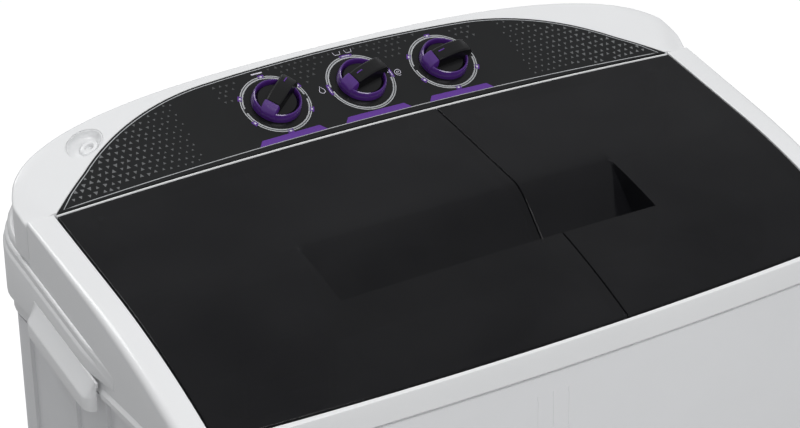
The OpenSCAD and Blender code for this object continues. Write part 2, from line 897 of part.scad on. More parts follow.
// Liquid-filled ring round the basket mouth
module balance_ring() {
  color("lightgray") translate([spin_x, axis_y, 0]) ring(basket_r, basket_r - 18, basket_top - 22,
    basket_top);
}

// Loose cover that holds the laundry down in the spin basket
module spin_cover() {
  color("lavender") translate([spin_x, axis_y, basket_top - 40]) {
    difference() {
      cylinder(h = 4, r = basket_r - 19);
      for (k = [1 : 3], a = [0 : 360 / (6 * k) : 359])
        rotate([0, 0, a]) translate([18 + k * 18, 0, -1]) cylinder(h = 6, r = 3.5, $fn = 16);
    }
    translate([-34, -5, 4]) cube([68, 10, 12]);
  }
}

// Block under the spin casing that carries the brake lever's pin
module brake_bracket() {
  color("silver") difference() {
    union() {
      translate([brake_x - 12, brake_y - 12, brake_z + 20]) cube([24, 24, spin_floor_z - brake_z - 20]);
      translate([brake_x - 20, brake_y - 20, spin_floor_z - 6]) cube([40, 40, 6]);
    }
    translate([brake_x, brake_y, brake_z]) cylinder(h = 50, r = 4 + run_gap);
  }
}

// Lever with the brake shoe; opening the spin lid swings the shoe against the drum
module brake_lever() {
  color("gray") {
    translate([brake_x, brake_y, brake_z]) cylinder(h = 44, r = 4);
    translate([brake_x - 5, brake_y - 8, brake_z]) cube([10, 108, 10]);
    translate([brake_x + 4, axis_y - 10, brake_z - 3]) cube([spin_x - drum_r - 3.5 - brake_x - 4, 20, 16]);
    translate([brake_x - 5, brake_y + 84, brake_z]) cube([10, 10, 18]);
  }
}

module capacitor() {
  z0 = plinth_z0 + 2 * wall;
  color("gainsboro") {
    translate([38, 128, z0]) cube([92, 44, 4]);
    for (x = [60, 108])
      translate([x, 150, z0 + 4]) {
        cylinder(h = 70, r = 20);
        translate([0, 0, 70]) cylinder(h = 8, r = 12);
      }
  }
}

module terminal_box() {
  color("dimgray") {
    translate([225, 150, 230]) cube([80, cabinet_y1 - wall - 150, 50]);
    translate([231, 144, 236]) cube([68, 6, 38]);
  }
}

module cord_gland() {
  color("#222222") translate([gland_x, cabinet_y1 + 2, gland_z]) rotate([90, 0, 0]) difference() {
    union() {
      cylinder(h = 14, r = gland_r);
      cylinder(h = 2, r = gland_r + 3);
      translate([0, 0, 2 + wall]) cylinder(h = 4, r = gland_r + 3);
    }
    translate([0, 0, -1]) cylinder(h = 20, r = cord_r);
  }
}

// ---- Drain ----

module drain_box() {
  color("lightgray") difference() {
    translate([drain_x - 25, drain_y - 28, drain_z - 26]) cube([50, 56, 76]);
    translate([drain_x - 22, drain_y - 25, drain_z - 23]) cube([44, 50, 62]);
    translate([plunger_x, plunger_y, drain_z]) cylinder(h = 100, r = 6 + run_gap);
    translate([wash_pipe_x, wash_pipe_y, drain_z]) cylinder(h = 100, r = 10);
    translate([drain_x, spin_pipe_y, spin_pipe_z]) rotate([0, 90, 0]) cylinder(h = 40, r = 8);
    translate([drain_x, drain_y + 20, drain_z]) rotate([-90, 0, 0]) cylinder(h = 20, r = drain_r - 3);
  }
}

module drain_outlet() {
  y0 = drain_y + 28;
  color("gray") translate([drain_x, y0, drain_z]) rotate([-90, 0, 0]) difference() {
    union() {
      cylinder(h = cabinet_y1 - 4 - y0, r = drain_r);
      cylinder(h = notch_y + 2 - y0, r = drain_r + 1);
    }
    translate([0, 0, -1]) cylinder(h = high, r = drain_r - 3);
  }
}

module wash_drain_pipe() {
  z1 = wash_floor_z - 4;
  z0 = drain_z + 50;
  color("gray") translate([wash_pipe_x, wash_pipe_y, 0]) difference() {
    union() {
      translate([0, 0, z0]) cylinder(h = z1 - z0, r = 13);
      for (z = [z0 + 8, z1 - 14])
        translate([0, 0, z]) cylinder(h = 6, r = 15);
    }
    translate([0, 0, z0 - 1]) cylinder(h = z1 - z0 + 2, r = 10);
  }
}

module spin_drain_pipe() {
  x0 = drain_x + 25;
  color("gray") difference() {
    union() {
      translate([spin_pipe_x, spin_pipe_y, spin_pipe_z]) cylinder(h = spin_floor_z - spin_pipe_z, r = 11);
      translate([spin_pipe_x, spin_pipe_y, spin_pipe_z]) sphere(r = 11);
      translate([x0, spin_pipe_y, spin_pipe_z]) rotate([0, 90, 0]) cylinder(h = spin_pipe_x - x0, r = 11);
    }
    translate([spin_pipe_x, spin_pipe_y, spin_pipe_z]) cylinder(h = high, r = 8);
    translate([x0 - 1, spin_pipe_y, spin_pipe_z]) rotate([0, 90, 0])
      cylinder(h = spin_pipe_x - x0 + 1, r = 8);
  }
}

// Valve plunger that the selector lifts to drain the tub
module drain_plunger() {
  color("tomato") translate([plunger_x, plunger_y, 0]) {
    translate([0, 0, drain_z + 2]) cylinder(h = 64, r = 6);
    translate([0, 0, drain_z - 8]) cylinder(h = 10, r = 9);
  }
}

// ---- Lids ----

// Section of a lid: thin shell that follows the lid line, with a front and a rear skirt
module lid_section() {
  difference() {
    under_lids(0, lid_front_y - 2 * front_bow, lid_back_y + panel_bow, 700);
    under_lids(lid_t, lid_front_y - 2 * front_bow - 1, lid_back_y + panel_bow + 1, 690);
  }
}

module lid_plan(x0, x1, inset) {
  n = 12;
  polygon(concat(
    [for (i = [0 : n]) let (x = x0 + (x1 - x0) * i / n) [x, bow(x, lid_half_w, lid_front_y + inset,
      front_bow)]],
    [for (i = [n : -1 : 0]) let (x = x0 + (x1 - x0) * i / n) [x, bow(x, lid_half_w,
      lid_back_y - rear_gap - inset, -panel_bow)]]
  ));
}

// Finger scoop that runs across both lids: an S-shaped ramp down to a short floor
module scoop_section(grow) {
  steps = 10;
  run = scoop_y0 - scoop_y1 - scoop_flat;
  y1 = scoop_y1 - grow;
  polygon(concat(
    [for (i = [0 : steps]) let (t = i / steps, y = scoop_y0 - run * t)
      [y, lid_z(y) - scoop_deep * t * t * (3 - 2 * t) - 1.2 * grow]],
    [
      [y1, lid_z(scoop_y1) - scoop_deep - 1.2 * grow],
      [y1, lid_z(y1) + 20],
      [scoop_y0, lid_z(scoop_y0) + 20]
    ]
  ));
}

module lid(x0, x1) {
  skirt = 14;
  sx0 = max(x0, -scoop_x);
  sx1 = min(x1, scoop_x);
  color("#26272a") {
    difference() {
      union() {
        // Top shell
        intersection() {
          linear_extrude(high) lid_plan(x0, x1, 0);
          along_x(x0, x1) lid_section();
        }
        // Skirt round the edge
        intersection() {
          linear_extrude(high)
            difference() {
              lid_plan(x0, x1, 0);
              lid_plan(x0 + 2.5, x1 - 2.5, 2.5);
            }
          along_x(x0, x1) difference() {
            under_lids(1, lid_front_y - 2 * front_bow, lid_back_y + panel_bow, 700);
            under_lids(skirt, lid_front_y - 2 * front_bow - 1, lid_back_y + panel_bow + 1, 690);
          }
        }
        // Underside of the scoop
        intersection() {
          along_x(sx0 - (sx0 > x0 ? lid_t : 0), sx1 + (sx1 < x1 ? lid_t : 0)) scoop_section(lid_t);
          along_x(x0, x1) under_lids(1, lid_front_y, lid_back_y, 700);
        }
      }
      along_x(sx0 - (sx0 > x0 ? 0 : 1), sx1 + (sx1 < x1 ? 0 : 1)) scoop_section(0);
      // Gaps in the rear skirt that clear the brackets
      for (x = hinge_brackets_x())
        along_x(x - bracket_t / 2 - side_gap, x + bracket_t / 2 + side_gap)
          under_lids(lid_t, hinge_y, lid_back_y + panel_bow + 2, 700);
    }
    // Hinge ears and pins
    for (side = [0, 1]) {
      bx = side == 0 ? min([for (b = hinge_brackets_x()) if (b > x0) b])
        : max([for (b = hinge_brackets_x()) if (b < x1) b]);
      ex = side == 0 ? bx + bracket_t / 2 + side_gap : bx - bracket_t / 2 - side_gap - ear_t;
      translate([ex, hinge_y, hinge_z]) rotate([0, 90, 0]) cylinder(h = ear_t, r = ear_r);
      translate([ex, hinge_y - 3, hinge_z]) cube([ear_t, 6, hinge_drop - 1.5]);
      translate([side == 0 ? bx - bracket_t / 2 : ex + ear_t / 2, hinge_y, hinge_z])
        rotate([0, 90, 0]) cylinder(h = bracket_t + side_gap + ear_t / 2, r = pin_r);
    }
  }
}

module wash_lid() {
  lid(-lid_half_w, seam_x - side_gap / 2);
}

module spin_lid() {
  lid(seam_x + side_gap / 2, lid_half_w);
}

base_pan();
rubber_feet();
cabinet_shell();
back_cover();
back_cover_screws();
top_frame();
handle_left();
handle_right();
console_housing();
control_fascia();
inlet_fitting();
fill_pipe();
wash_tub();
spin_tub();
hinge_brackets();
wash_timer();
program_selector();
spin_timer();
drain_box();
drain_outlet();
spin_drain_pipe();
wash_drain_pipe();
wash_gearbox();
drive_plate();
wash_motor();
spin_motor();
spin_motor_plate();
spin_motor_springs();
capacitor();
terminal_box();
cord_gland();
filter_bracket();
overflow_cover();
spin_shaft_seal();
drive_belt();
brake_bracket();
wash_lid();
spin_lid();
wash_knob_skirt();
wash_knob_grip();
selector_knob_skirt();
selector_knob_grip();
spin_knob_skirt();
spin_knob_grip();
pulsator();
pulsator_cap();
gearbox_pulley();
motor_pulley();
spin_basket();
balance_ring();
spin_shaft();
spin_cover();
lint_filter();
drain_plunger();
brake_lever();
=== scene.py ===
"""Looks of a twin-tub washing machine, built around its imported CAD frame."""

import json
import random
from math import asin, atan2, copysign, cos, dist, hypot, pi, radians, sin, sqrt, tan

import bmesh
import bpy
from mathutils import Matrix, Vector


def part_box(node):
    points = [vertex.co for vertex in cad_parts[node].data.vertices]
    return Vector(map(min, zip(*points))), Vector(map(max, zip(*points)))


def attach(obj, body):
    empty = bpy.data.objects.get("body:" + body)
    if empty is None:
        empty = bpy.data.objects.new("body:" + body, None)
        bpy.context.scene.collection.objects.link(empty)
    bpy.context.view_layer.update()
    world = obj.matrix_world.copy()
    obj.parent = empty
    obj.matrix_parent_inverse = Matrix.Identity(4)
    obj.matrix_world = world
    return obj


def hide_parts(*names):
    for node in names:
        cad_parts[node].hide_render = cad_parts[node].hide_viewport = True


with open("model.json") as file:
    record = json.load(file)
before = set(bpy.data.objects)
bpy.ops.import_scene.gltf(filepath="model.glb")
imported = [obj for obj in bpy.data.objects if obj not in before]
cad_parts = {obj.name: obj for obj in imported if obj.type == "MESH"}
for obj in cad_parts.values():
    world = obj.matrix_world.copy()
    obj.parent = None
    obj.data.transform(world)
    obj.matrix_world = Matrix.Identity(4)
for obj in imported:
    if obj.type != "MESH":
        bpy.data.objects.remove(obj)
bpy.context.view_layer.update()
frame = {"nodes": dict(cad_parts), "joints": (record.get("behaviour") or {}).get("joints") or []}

# ---- Sizes: anchors come from the frame, the rest are design values ----

MM = 0.001
JOINTS = {joint["name"]: joint for joint in frame["joints"]}

LID_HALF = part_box("spin_lid")[1].x
WASH_LID_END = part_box("wash_lid")[1].x
SPIN_LID_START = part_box("spin_lid")[0].x
SEAM = (WASH_LID_END + SPIN_LID_START) / 2
CAB_HALF, CAB_BACK, CAB_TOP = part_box("cabinet_shell")[1]
CAB_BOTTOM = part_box("cabinet_shell")[0].z
FRAME_HALF = CAB_HALF + 2 * MM
FRAME_BACK = CAB_BACK + 2 * MM
FLANGE_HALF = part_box("top_frame")[1].x
CONSOLE_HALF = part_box("console_housing")[1].x
DECK_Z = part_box("wash_tub")[1].z + 3 * MM
HANDLE_LOW, HANDLE_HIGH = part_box("handle_right")
HINGE_Y, HINGE_Z = JOINTS["wash_lid_hinge"]["pos_m"][1:]
TILT = asin(-JOINTS["selector_turn"]["axis"][1])

# Side view of rails and lids: a straight slope from the console's foot, then a roll down to the front
LINE_Y = 104 * MM
LINE_Z = 860 * MM
SLOPE = radians(11.3)
BEND_Y = LINE_Y - 115 * MM
BEND_Z = LINE_Z - 115 * MM * tan(SLOPE)
BEND_R = 800 * MM

# Lids; LID_EDGE holds (inwards, down) steps in mm from the hem to the top
LID_FRONT = -195 * MM
FRONT_BOW = 15 * MM
REAR_BOW = 8.7 * MM
CROWN_BACK = 2.8 * MM
CROWN_FRONT = 7 * MM
LID_WALL = 2.2 * MM
LID_REAR_GAP = 1.4 * MM
LID_EDGE = ((0.0, 12.5), (0.0, 0.45), (0.12, 0.16), (0.35, 0.03), (0.9, 0.0))
BRACKET_ENDS = [corner.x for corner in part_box("hinge_brackets")]
BRACKETS = (BRACKET_ENDS[0] + 5 * MM, SEAM - 26 * MM, SEAM + 26 * MM, BRACKET_ENDS[1] - 5 * MM)
BRACKET_GAP = 8.4 * MM
BRACKET_HEM = 1.6 * MM
SCOOP_HALF = 175 * MM
SCOOP_BACK = -25 * MM
SCOOP_FRONT = -106 * MM
SCOOP_DEEP = 38 * MM
SCOOP_FLAT = 15 * MM
SCOOP_WALL = 1.4 * MM

# Top frame
BAND_Y = -200 * MM
POCKET_HALF = LID_HALF + 2 * MM
FRONT_R = 18 * MM
BACK_R = 66 * MM
RAIL_R_BACK = 3 * MM
RAIL_R = 10 * MM
BAND_R = 1.3 * MM
FRAME_WALL = 3 * MM
SHELF_Y = LINE_Y + 4 * MM
SHELF_Z = 818 * MM
SHELF_SLOPE = radians(17)
SHELF_REACH = 58 * MM
POCKET_R = 6 * MM
LIP = 3 * MM
LIP_BACK = -36 * MM
FLANGE_DROP = 47 * MM
FLANGE_LOW = 765 * MM
FLANGE_FRONT = -60 * MM
FLANGE_RUN_IN = 55 * MM
HANDLE_DROP = 70 * MM

# Console
CONSOLE_STEP = 3.3 * MM
CONSOLE_FRONT = LINE_Y + CONSOLE_STEP
CONSOLE_DEPTH = 107 * MM
CONSOLE_POWER = 2.7
CONSOLE_EDGE_R = 3 * MM
CONSOLE_FLARE = 34 * MM
CREASE_END = (372 * MM, 150 * MM)
INLET = (-290 * MM, 72 * MM)

# Control panel, in its own plane: x across, s up the slope from the lid line, n out of it
PANEL_REACH = 350 * MM
PANEL_LOW = 2.0 * MM
PANEL_TIP_BULGE = 0.6 * MM
PANEL_TOP_S = 112.4 * MM
PANEL_TOP_R = 1825 * MM
PANEL_TOP_TURN = 4.65
SHOULDER = (126.4 * MM, -162.7 * MM)
SHOULDER_R = 270 * MM
SHOULDER_TURN = 41.5
PANEL = Matrix.Translation((0, LINE_Y, LINE_Z)) @ Matrix.Rotation(TILT, 4, "X")
TURNS = [JOINTS[name]["pos_m"] for name in ("wash_timer_turn", "selector_turn", "spin_timer_turn")]
KNOBS = [(PANEL.inverted() @ Vector(place)).xy.to_tuple() for place in TURNS]
INK_LOW = -0.2 * MM
INK_HIGH = 0.12 * MM
STRIPE_REACH = 341 * MM

# Purple marks round a dial: angles, then in mm and degrees their radius, width and reach, and the
# width and reach of their white line
SELECTOR_MARKS = ((88, 180, 5), 36.0, 3.4, 11, 0.8, 7)
TIMER_MARKS = ((88, 25, -28, -93, -152, 154), 35.8, 4.6, 5, 1.8, 1.8)

# Knobs in mm: (radius, height) of the turned parts, (place, half width, height) along the pointer
SKIRT = (
    (21.6, 4.0), (21.8, 8.2), (22.3, 9.4), (23.0, 9.9), (23.8, 9.5),
    (24.4, 8.4), (25.0, 5.2), (25.4, 1.8), (25.4, 0.8), (21.6, 0.8),
)
FACETS = ((-25.2, 6.5, 8.0), (-23.4, 7.8, 11.4), (-19, 8.4, 14.4), (-15.2, 8.2, 16.2), (-14.2, 7.8, 10))
GRIP_DISC = ((0.01, 3.2), (20.2, 3.2), (20.2, 5.2), (19.4, 6.2), (12, 7.0), (0.01, 7.3))
GRIP = (
    (-15.0, 7.2, 15.8), (-14.4, 7.8, 16.6), (-8, 8.2, 18.0), (2, 8.3, 19.0), (10, 8.3, 19.0),
    (18, 8.5, 18.0), (24, 8.7, 16.4), (27, 8.0, 14.4), (28.2, 6.6, 12.6),
)

# Cabinet; GROOVES holds the (front, back) of the side grooves in mm
CAB_FRONT = BAND_Y + 4 * MM
CAB_WALL = 2.6 * MM
RIB_TOP = 722 * MM
GROOVES = ((-150, -132), (-54, -38), (14, 30), (80, 128))
GROOVE_DEPTH = 3 * MM


# ---- Shape functions shared by the mouldings ----

def lid_z(y):
    """Height of the rails and of the lids' side edges at y."""
    if y > BEND_Y:
        return LINE_Z - (LINE_Y - y) * tan(SLOPE)
    sine = sin(SLOPE) + (BEND_Y - y) / BEND_R
    return BEND_Z - BEND_R * (cos(SLOPE) - sqrt(1 - sine * sine))


def top_z(x, y):
    """Height of the crowned lid surface."""
    along = (LINE_Y - y) / (LINE_Y - LID_FRONT)
    crown = CROWN_BACK + (CROWN_FRONT - CROWN_BACK) * min(max(along, 0), 1.06)
    return lid_z(y) + crown * max(0, 1 - (x / LID_HALF) ** 2)


def bow(x, half, y, amount):
    return y - amount * (1 - (x / half) ** 2)


def shelf_z(y):
    return SHELF_Z + (y - SHELF_Y) * tan(SHELF_SLOPE)


def panel_z(y):
    return LINE_Z + (y - LINE_Y) * tan(TILT)


def on_panel(x, s, n):
    return PANEL @ Vector((x, s, n))


def spread(a, b, n):
    return [a + (b - a) * i / n for i in range(n + 1)]


def arc(cx, cy, r, a0, a1, n):
    angles = [radians(a) for a in spread(a0, a1, n)]
    return [(cx + r * cos(a), cy + r * sin(a)) for a in angles]


def full_turn(steps):
    return [2 * pi * i / steps for i in range(steps)]


def quarter_turn(steps=6):
    return [pi / 2 * i / steps for i in range(steps + 1)]


def scaled(points):
    """Points in mm turned into metres."""
    return [(a * MM, b * MM) for a, b in points]


def moved(point, n, d):
    return point[0] + n[0] * d, point[1] + n[1] * d


def outward(before, after):
    """Unit vector to the right of the way from before to after."""
    along = Vector((after[0] - before[0], after[1] - before[1])).normalized()
    return along.y, -along.x


def as_is(x, y, z):
    return x, y, z


# ---- Mesh helpers ----

def loft(rings, wrap=True, caps=True, close=False):
    """Faces between equal rings. wrap joins each ring's ends, close joins the last ring to the first."""
    cols = len(rings[0])
    count = len(rings)
    verts = [p for ring in rings for p in ring]
    faces = []
    for r in range(count if close else count - 1):
        for c in range(cols if wrap else cols - 1):
            a = r * cols + c
            b = r * cols + (c + 1) % cols
            up = ((r + 1) % count - r) * cols
            faces.append((a, b, b + up, a + up))
    if wrap and caps and not close:
        faces.append(tuple(range(cols)))
        faces.append(tuple(range(len(verts) - cols, len(verts))))
    return verts, faces


def prism(points, low, high, place=as_is):
    """A flat outline given thickness; place puts (x, y, z) into the row frame."""
    return loft([[place(x, y, z) for x, y in points] for z in (low, high)])


def revolve(profile, place, steps=64):
    """Solid of revolution from (radius, height) points in mm, as a closed loop."""
    rings = []
    for a in full_turn(steps):
        rings.append([place(r * cos(a), r * sin(a), h) for r, h in scaled(profile)])
    return loft(rings, close=True)


def merge(*parts):
    verts = []
    faces = []
    for part_verts, part_faces in parts:
        base = len(verts)
        verts.extend(part_verts)
        faces.extend(tuple(i + base for i in face) for face in part_faces)
    return verts, faces


def smooth_by_angle(mesh, degrees):
    mesh.polygons.foreach_set("use_smooth", [True] * len(mesh.polygons))
    mesh.set_sharp_from_angle(angle=radians(degrees))


def add_object(name, data):
    obj = bpy.data.objects.new(name, data)
    bpy.context.scene.collection.objects.link(obj)
    return obj


def new_mesh(name, shape):
    """A mesh from (verts, faces), with doubles merged and all normals outwards."""
    mesh = bpy.data.meshes.new(name)
    mesh.from_pydata([tuple(v) for v in shape[0]], [], shape[1])
    bm = bmesh.new()
    bm.from_mesh(mesh)
    bmesh.ops.remove_doubles(bm, verts=bm.verts, dist=1e-6)
    bmesh.ops.dissolve_degenerate(bm, edges=bm.edges, dist=1e-7)
    bmesh.ops.recalc_face_normals(bm, faces=bm.faces)
    bm.to_mesh(mesh)
    bm.free()
    return mesh


def piece(name, shape, material, body="cabinet", replaces="", angle=32, bevel=0):
    """One visible piece: its mesh and material, the body it rides on and the CAD node it stands for."""
    mesh = new_mesh(name, shape)
    mesh.materials.append(material)
    obj = add_object(name, mesh)
    if bevel:
        soften(obj, bevel)
    smooth_by_angle(mesh, angle)
    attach(obj, body)
    if replaces:
        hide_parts(replaces)
    return obj


def set_all(item, **values):
    for name, value in values.items():
        setattr(item, name, value)


def soften(obj, width):
    bevel = obj.modifiers.new("rounded_edges", "BEVEL")
    set_all(bevel, width=width, segments=3, harden_normals=True)
    set_all(bevel, limit_method="ANGLE", angle_limit=radians(40))


def thicken(obj, width):
    set_all(obj.modifiers.new("wall", "SOLIDIFY"), thickness=width, offset=-1)


# ---- Materials ----

def new_material(name):
    material = bpy.data.materials.new(name)
    material.use_nodes = True
    return material, material.node_tree, material.node_tree.nodes["Principled BSDF"]


def set_inputs(node, values):
    for name, value in values.items():
        node.inputs[name].default_value = value


def noise(tree, scale, detail=3.0, stretch=(1, 1, 1)):
    coords = tree.nodes.new("ShaderNodeTexCoord")
    mapping = tree.nodes.new("ShaderNodeMapping")
    mapping.inputs["Scale"].default_value = stretch
    texture = tree.nodes.new("ShaderNodeTexNoise")
    set_inputs(texture, {"Scale": scale, "Detail": detail})
    tree.links.new(coords.outputs["Object"], mapping.inputs["Vector"])
    tree.links.new(mapping.outputs["Vector"], texture.inputs["Vector"])
    return texture.outputs["Fac"]


def remap(tree, value, low, high, start=0.3, end=0.7):
    node = tree.nodes.new("ShaderNodeMapRange")
    set_inputs(node, {"From Min": start, "From Max": end, "To Min": low, "To Max": high})
    tree.links.new(value, node.inputs["Value"])
    return node.outputs["Result"]


def mixed(tree, factor, first, second):
    """Blend of two colours, each a tuple or a socket."""
    node = tree.nodes.new("ShaderNodeMix")
    node.data_type = "RGBA"
    for index, value in ((6, first), (7, second)):
        if isinstance(value, tuple):
            node.inputs[index].default_value = (*value, 1)
        else:
            tree.links.new(value, node.inputs[index])
    tree.links.new(factor, node.inputs[0])
    return node.outputs[2]


def bump(tree, shader, height, strength, distance):
    node = tree.nodes.new("ShaderNodeBump")
    set_inputs(node, {"Strength": strength, "Distance": distance})
    tree.links.new(height, node.inputs["Height"])
    tree.links.new(node.outputs["Normal"], shader.inputs["Normal"])


def tint(tree, shader, factor, first, second):
    tree.links.new(mixed(tree, factor, first, second), shader.inputs["Base Color"])


def gloss(tree, shader, pattern, low, high):
    tree.links.new(remap(tree, pattern, low, high), shader.inputs["Roughness"])


def shade(colour, amount):
    return tuple(min(1, max(0, c * amount)) for c in colour)


def plastic(name, colour, rough, vary=0.03, grain=900, depth=0.12, coat=0.0, shine=0.5):
    """Moulded plastic: slight clouding of the colour, uneven gloss and a fine grain."""
    material, tree, shader = new_material(name)
    clouds = noise(tree, 7, 4)
    tint(tree, shader, remap(tree, clouds, 0, 1), shade(colour, 1 - vary), shade(colour, 1 + vary))
    gloss(tree, shader, noise(tree, 45, 3), rough * 0.94, rough * 1.08)
    bump(tree, shader, noise(tree, grain, 2), depth, 0.05 * MM)
    set_inputs(shader, {"Coat Weight": coat, "Coat Roughness": 0.08, "Specular IOR Level": shine})
    return material


def metal(name, colour, rough, stretch=(1, 1, 14)):
    """Rolled or turned steel: streaks along one direction, darker and rougher in patches."""
    material, tree, shader = new_material(name)
    streaks = noise(tree, 60, 4, stretch)
    tint(tree, shader, remap(tree, streaks, 0, 1), shade(colour, 0.8), shade(colour, 1.08))
    gloss(tree, shader, noise(tree, 18, 5), rough * 0.8, rough * 1.35)
    bump(tree, shader, noise(tree, 300, 3, stretch), 0.2, 0.05 * MM)
    shader.inputs["Metallic"].default_value = 1.0
    return material


def rubber(name, colour):
    material, tree, shader = new_material(name)
    dust = remap(tree, noise(tree, 25, 6), 0, 1, 0.45, 0.75)
    tint(tree, shader, dust, colour, shade(colour, 1.8))
    gloss(tree, shader, noise(tree, 120, 4), 0.6, 0.85)
    bump(tree, shader, noise(tree, 1500, 3), 0.35, 0.1 * MM)
    return material


def smoked_plastic():
    """Dark tinted lid: a glossy skin over a film that lets a little of the inside show."""
    material, tree, shader = new_material("smoked_acrylic")
    tint(tree, shader, remap(tree, noise(tree, 9, 4), 0, 1), (0.006, 0.006, 0.007), (0.011, 0.011, 0.012))
    gloss(tree, shader, noise(tree, 30, 5), 0.09, 0.15)
    bump(tree, shader, noise(tree, 60, 2), 0.03, 0.03 * MM)
    shader.inputs["Specular IOR Level"].default_value = 0.26
    film = tree.nodes.new("ShaderNodeBsdfTransparent")
    film.inputs["Color"].default_value = (0.5, 0.5, 0.53, 1)
    path = tree.nodes.new("ShaderNodeLightPath")
    share = remap(tree, path.outputs["Is Shadow Ray"], 0.2, 0.8, 0, 1)
    blend = tree.nodes.new("ShaderNodeMixShader")
    tree.links.new(share, blend.inputs["Fac"])
    tree.links.new(shader.outputs["BSDF"], blend.inputs[1])
    tree.links.new(film.outputs["BSDF"], blend.inputs[2])
    tree.links.new(blend.outputs["Shader"], tree.nodes["Material Output"].inputs["Surface"])
    return material


def printed(name, colour, rough=0.35, fade=None):
    """Ink on the control panel. fade dims it away from the panel's two tips."""
    material, tree, shader = new_material(name)
    speck = remap(tree, noise(tree, 700, 3), 0, 1)
    tone = mixed(tree, speck, shade(colour, 0.9), shade(colour, 1.05))
    if fade:
        coords = tree.nodes.new("ShaderNodeTexCoord")
        axes = tree.nodes.new("ShaderNodeSeparateXYZ")
        size = tree.nodes.new("ShaderNodeMath")
        size.operation = "ABSOLUTE"
        tree.links.new(coords.outputs["Object"], axes.inputs["Vector"])
        tree.links.new(axes.outputs["X"], size.inputs[0])
        dim = remap(tree, size.outputs[0], 0, 1, fade[0], fade[1])
        tone = mixed(tree, dim, shade(colour, 0.3), tone)
    tree.links.new(tone, shader.inputs["Base Color"])
    gloss(tree, shader, noise(tree, 300, 2), rough * 0.8, rough * 1.2)
    return material


white = plastic("white_gloss_abs", (0.79, 0.795, 0.80), 0.3, 0.012, 700, 0.08, 0.25)
white_matt = plastic("white_panel_paint", (0.76, 0.765, 0.775), 0.38, 0.015, 500, 0.1)
tub_white = plastic("tub_polypropylene", (0.72, 0.75, 0.78), 0.42, 0.03, 600, 0.2)
fascia_black = plastic("panel_film_black", (0.009, 0.0095, 0.010), 0.36, 0.08, 1100, 0.12, shine=0.3)
knob_black = plastic("knob_black_abs", (0.006, 0.006, 0.0065), 0.24, 0.08, 900, 0.08, shine=0.36)
purple = plastic("purple_gloss_abs", (0.072, 0.018, 0.19), 0.2, 0.06, 900, 0.06, 0.6)
blue = plastic("pulsator_blue", (0.16, 0.36, 0.62), 0.33, 0.04, 800, 0.12)
grey = plastic("grey_polypropylene", (0.22, 0.23, 0.24), 0.45, 0.05, 500, 0.2)
dark_grey = plastic("dark_phenolic", (0.045, 0.047, 0.05), 0.42, 0.06, 700, 0.2)
lilac = plastic("filter_lilac", (0.42, 0.32, 0.62), 0.4, 0.04, 600, 0.15)
red = plastic("valve_red", (0.5, 0.06, 0.04), 0.4, 0.05, 600, 0.15)
zinc = metal("zinc_plated_steel", (0.56, 0.57, 0.59), 0.34)
aluminium = metal("cast_aluminium", (0.62, 0.63, 0.65), 0.42, (1, 1, 1))
motor_paint = metal("motor_steel", (0.30, 0.31, 0.33), 0.45)
black_rubber = rubber("black_rubber", (0.018, 0.018, 0.019))
smoked = smoked_plastic()
ink_light = printed("ink_silver", (0.42, 0.43, 0.44))
ink_grey = printed("ink_grey_pattern", (0.17, 0.175, 0.18), 0.4, (0.12, 0.33))
ink_purple = printed("ink_purple", (0.105, 0.03, 0.27))
ink_white = printed("ink_white", (0.62, 0.6, 0.68))


# ---- Camera, light and floor ----

def make_camera():
    yaw, pitch, roll = 0.556149, 0.459849, -0.009732
    data = bpy.data.cameras.new("camera")
    set_all(data, lens=108, sensor_width=36, clip_end=60)
    camera = add_object("camera", data)
    place = Matrix.Translation((-1.11880, -1.72464, 1.82891))
    aim = Matrix.Rotation(-yaw, 4, "Z") @ Matrix.Rotation(pi / 2 - pitch, 4, "X")
    camera.matrix_world = place @ aim @ Matrix.Rotation(roll, 4, "Z")
    bpy.context.scene.camera = camera


def area_light(name, place, target, size, power):
    data = bpy.data.lights.new(name, "AREA")
    set_all(data, shape="SQUARE", size=size, energy=power)
    light = add_object(name, data)
    light.location = place
    light.rotation_euler = (Vector(target) - Vector(place)).to_track_quat("-Z", "Y").to_euler()


def make_world():
    world = bpy.data.worlds.new("studio")
    bpy.context.scene.world = world
    world.use_nodes = True
    tree = world.node_tree
    background = tree.nodes["Background"]
    coords = tree.nodes.new("ShaderNodeTexCoord")
    axes = tree.nodes.new("ShaderNodeSeparateXYZ")
    tree.links.new(coords.outputs["Generated"], axes.inputs["Vector"])
    height = remap(tree, axes.outputs["Z"], 0, 1, 0.0, 1.0)
    tone = mixed(tree, height, (0.33, 0.333, 0.342), (0.42, 0.424, 0.43))
    tree.links.new(tone, background.inputs["Color"])


def make_floor():
    size = 14
    mesh = bpy.data.meshes.new("studio_floor")
    corners = ((-1, -1), (1, -1), (1, 1), (-1, 1))
    mesh.from_pydata([(x * size, y * size, 0) for x, y in corners], [], [(0, 1, 2, 3)])
    floor = add_object("studio_floor", mesh)
    material, tree, shader = new_material("pale_floor")
    tint(tree, shader, remap(tree, noise(tree, 1.5, 3), 0, 1), (0.50, 0.50, 0.50), (0.53, 0.53, 0.53))
    shader.inputs["Roughness"].default_value = 0.8
    path = tree.nodes.new("ShaderNodeLightPath")
    glow = remap(tree, path.outputs["Is Camera Ray"], 0, 0.7, 0, 1)
    tree.links.new(glow, shader.inputs["Emission Strength"])
    shader.inputs["Emission Color"].default_value = (1, 1, 1, 1)
    mesh.materials.append(material)


def make_lights():
    area_light("key", (0.2, -3.0, 3.65), (0, 0, 0.7), 2.2, 94)
    area_light("rear_top", (-1.0, 1.9, 4.0), (0, 0, 0.8), 1.8, 48)


# ---- Top frame ----

def corner_normals():
    """Outward normals round the front left corner."""
    return arc(0, 0, 1, 180, 264, 8)[1:]


def front_normal(x, half):
    return tuple(Vector((2 * FRONT_BOW * x / half ** 2, -1)).normalized())


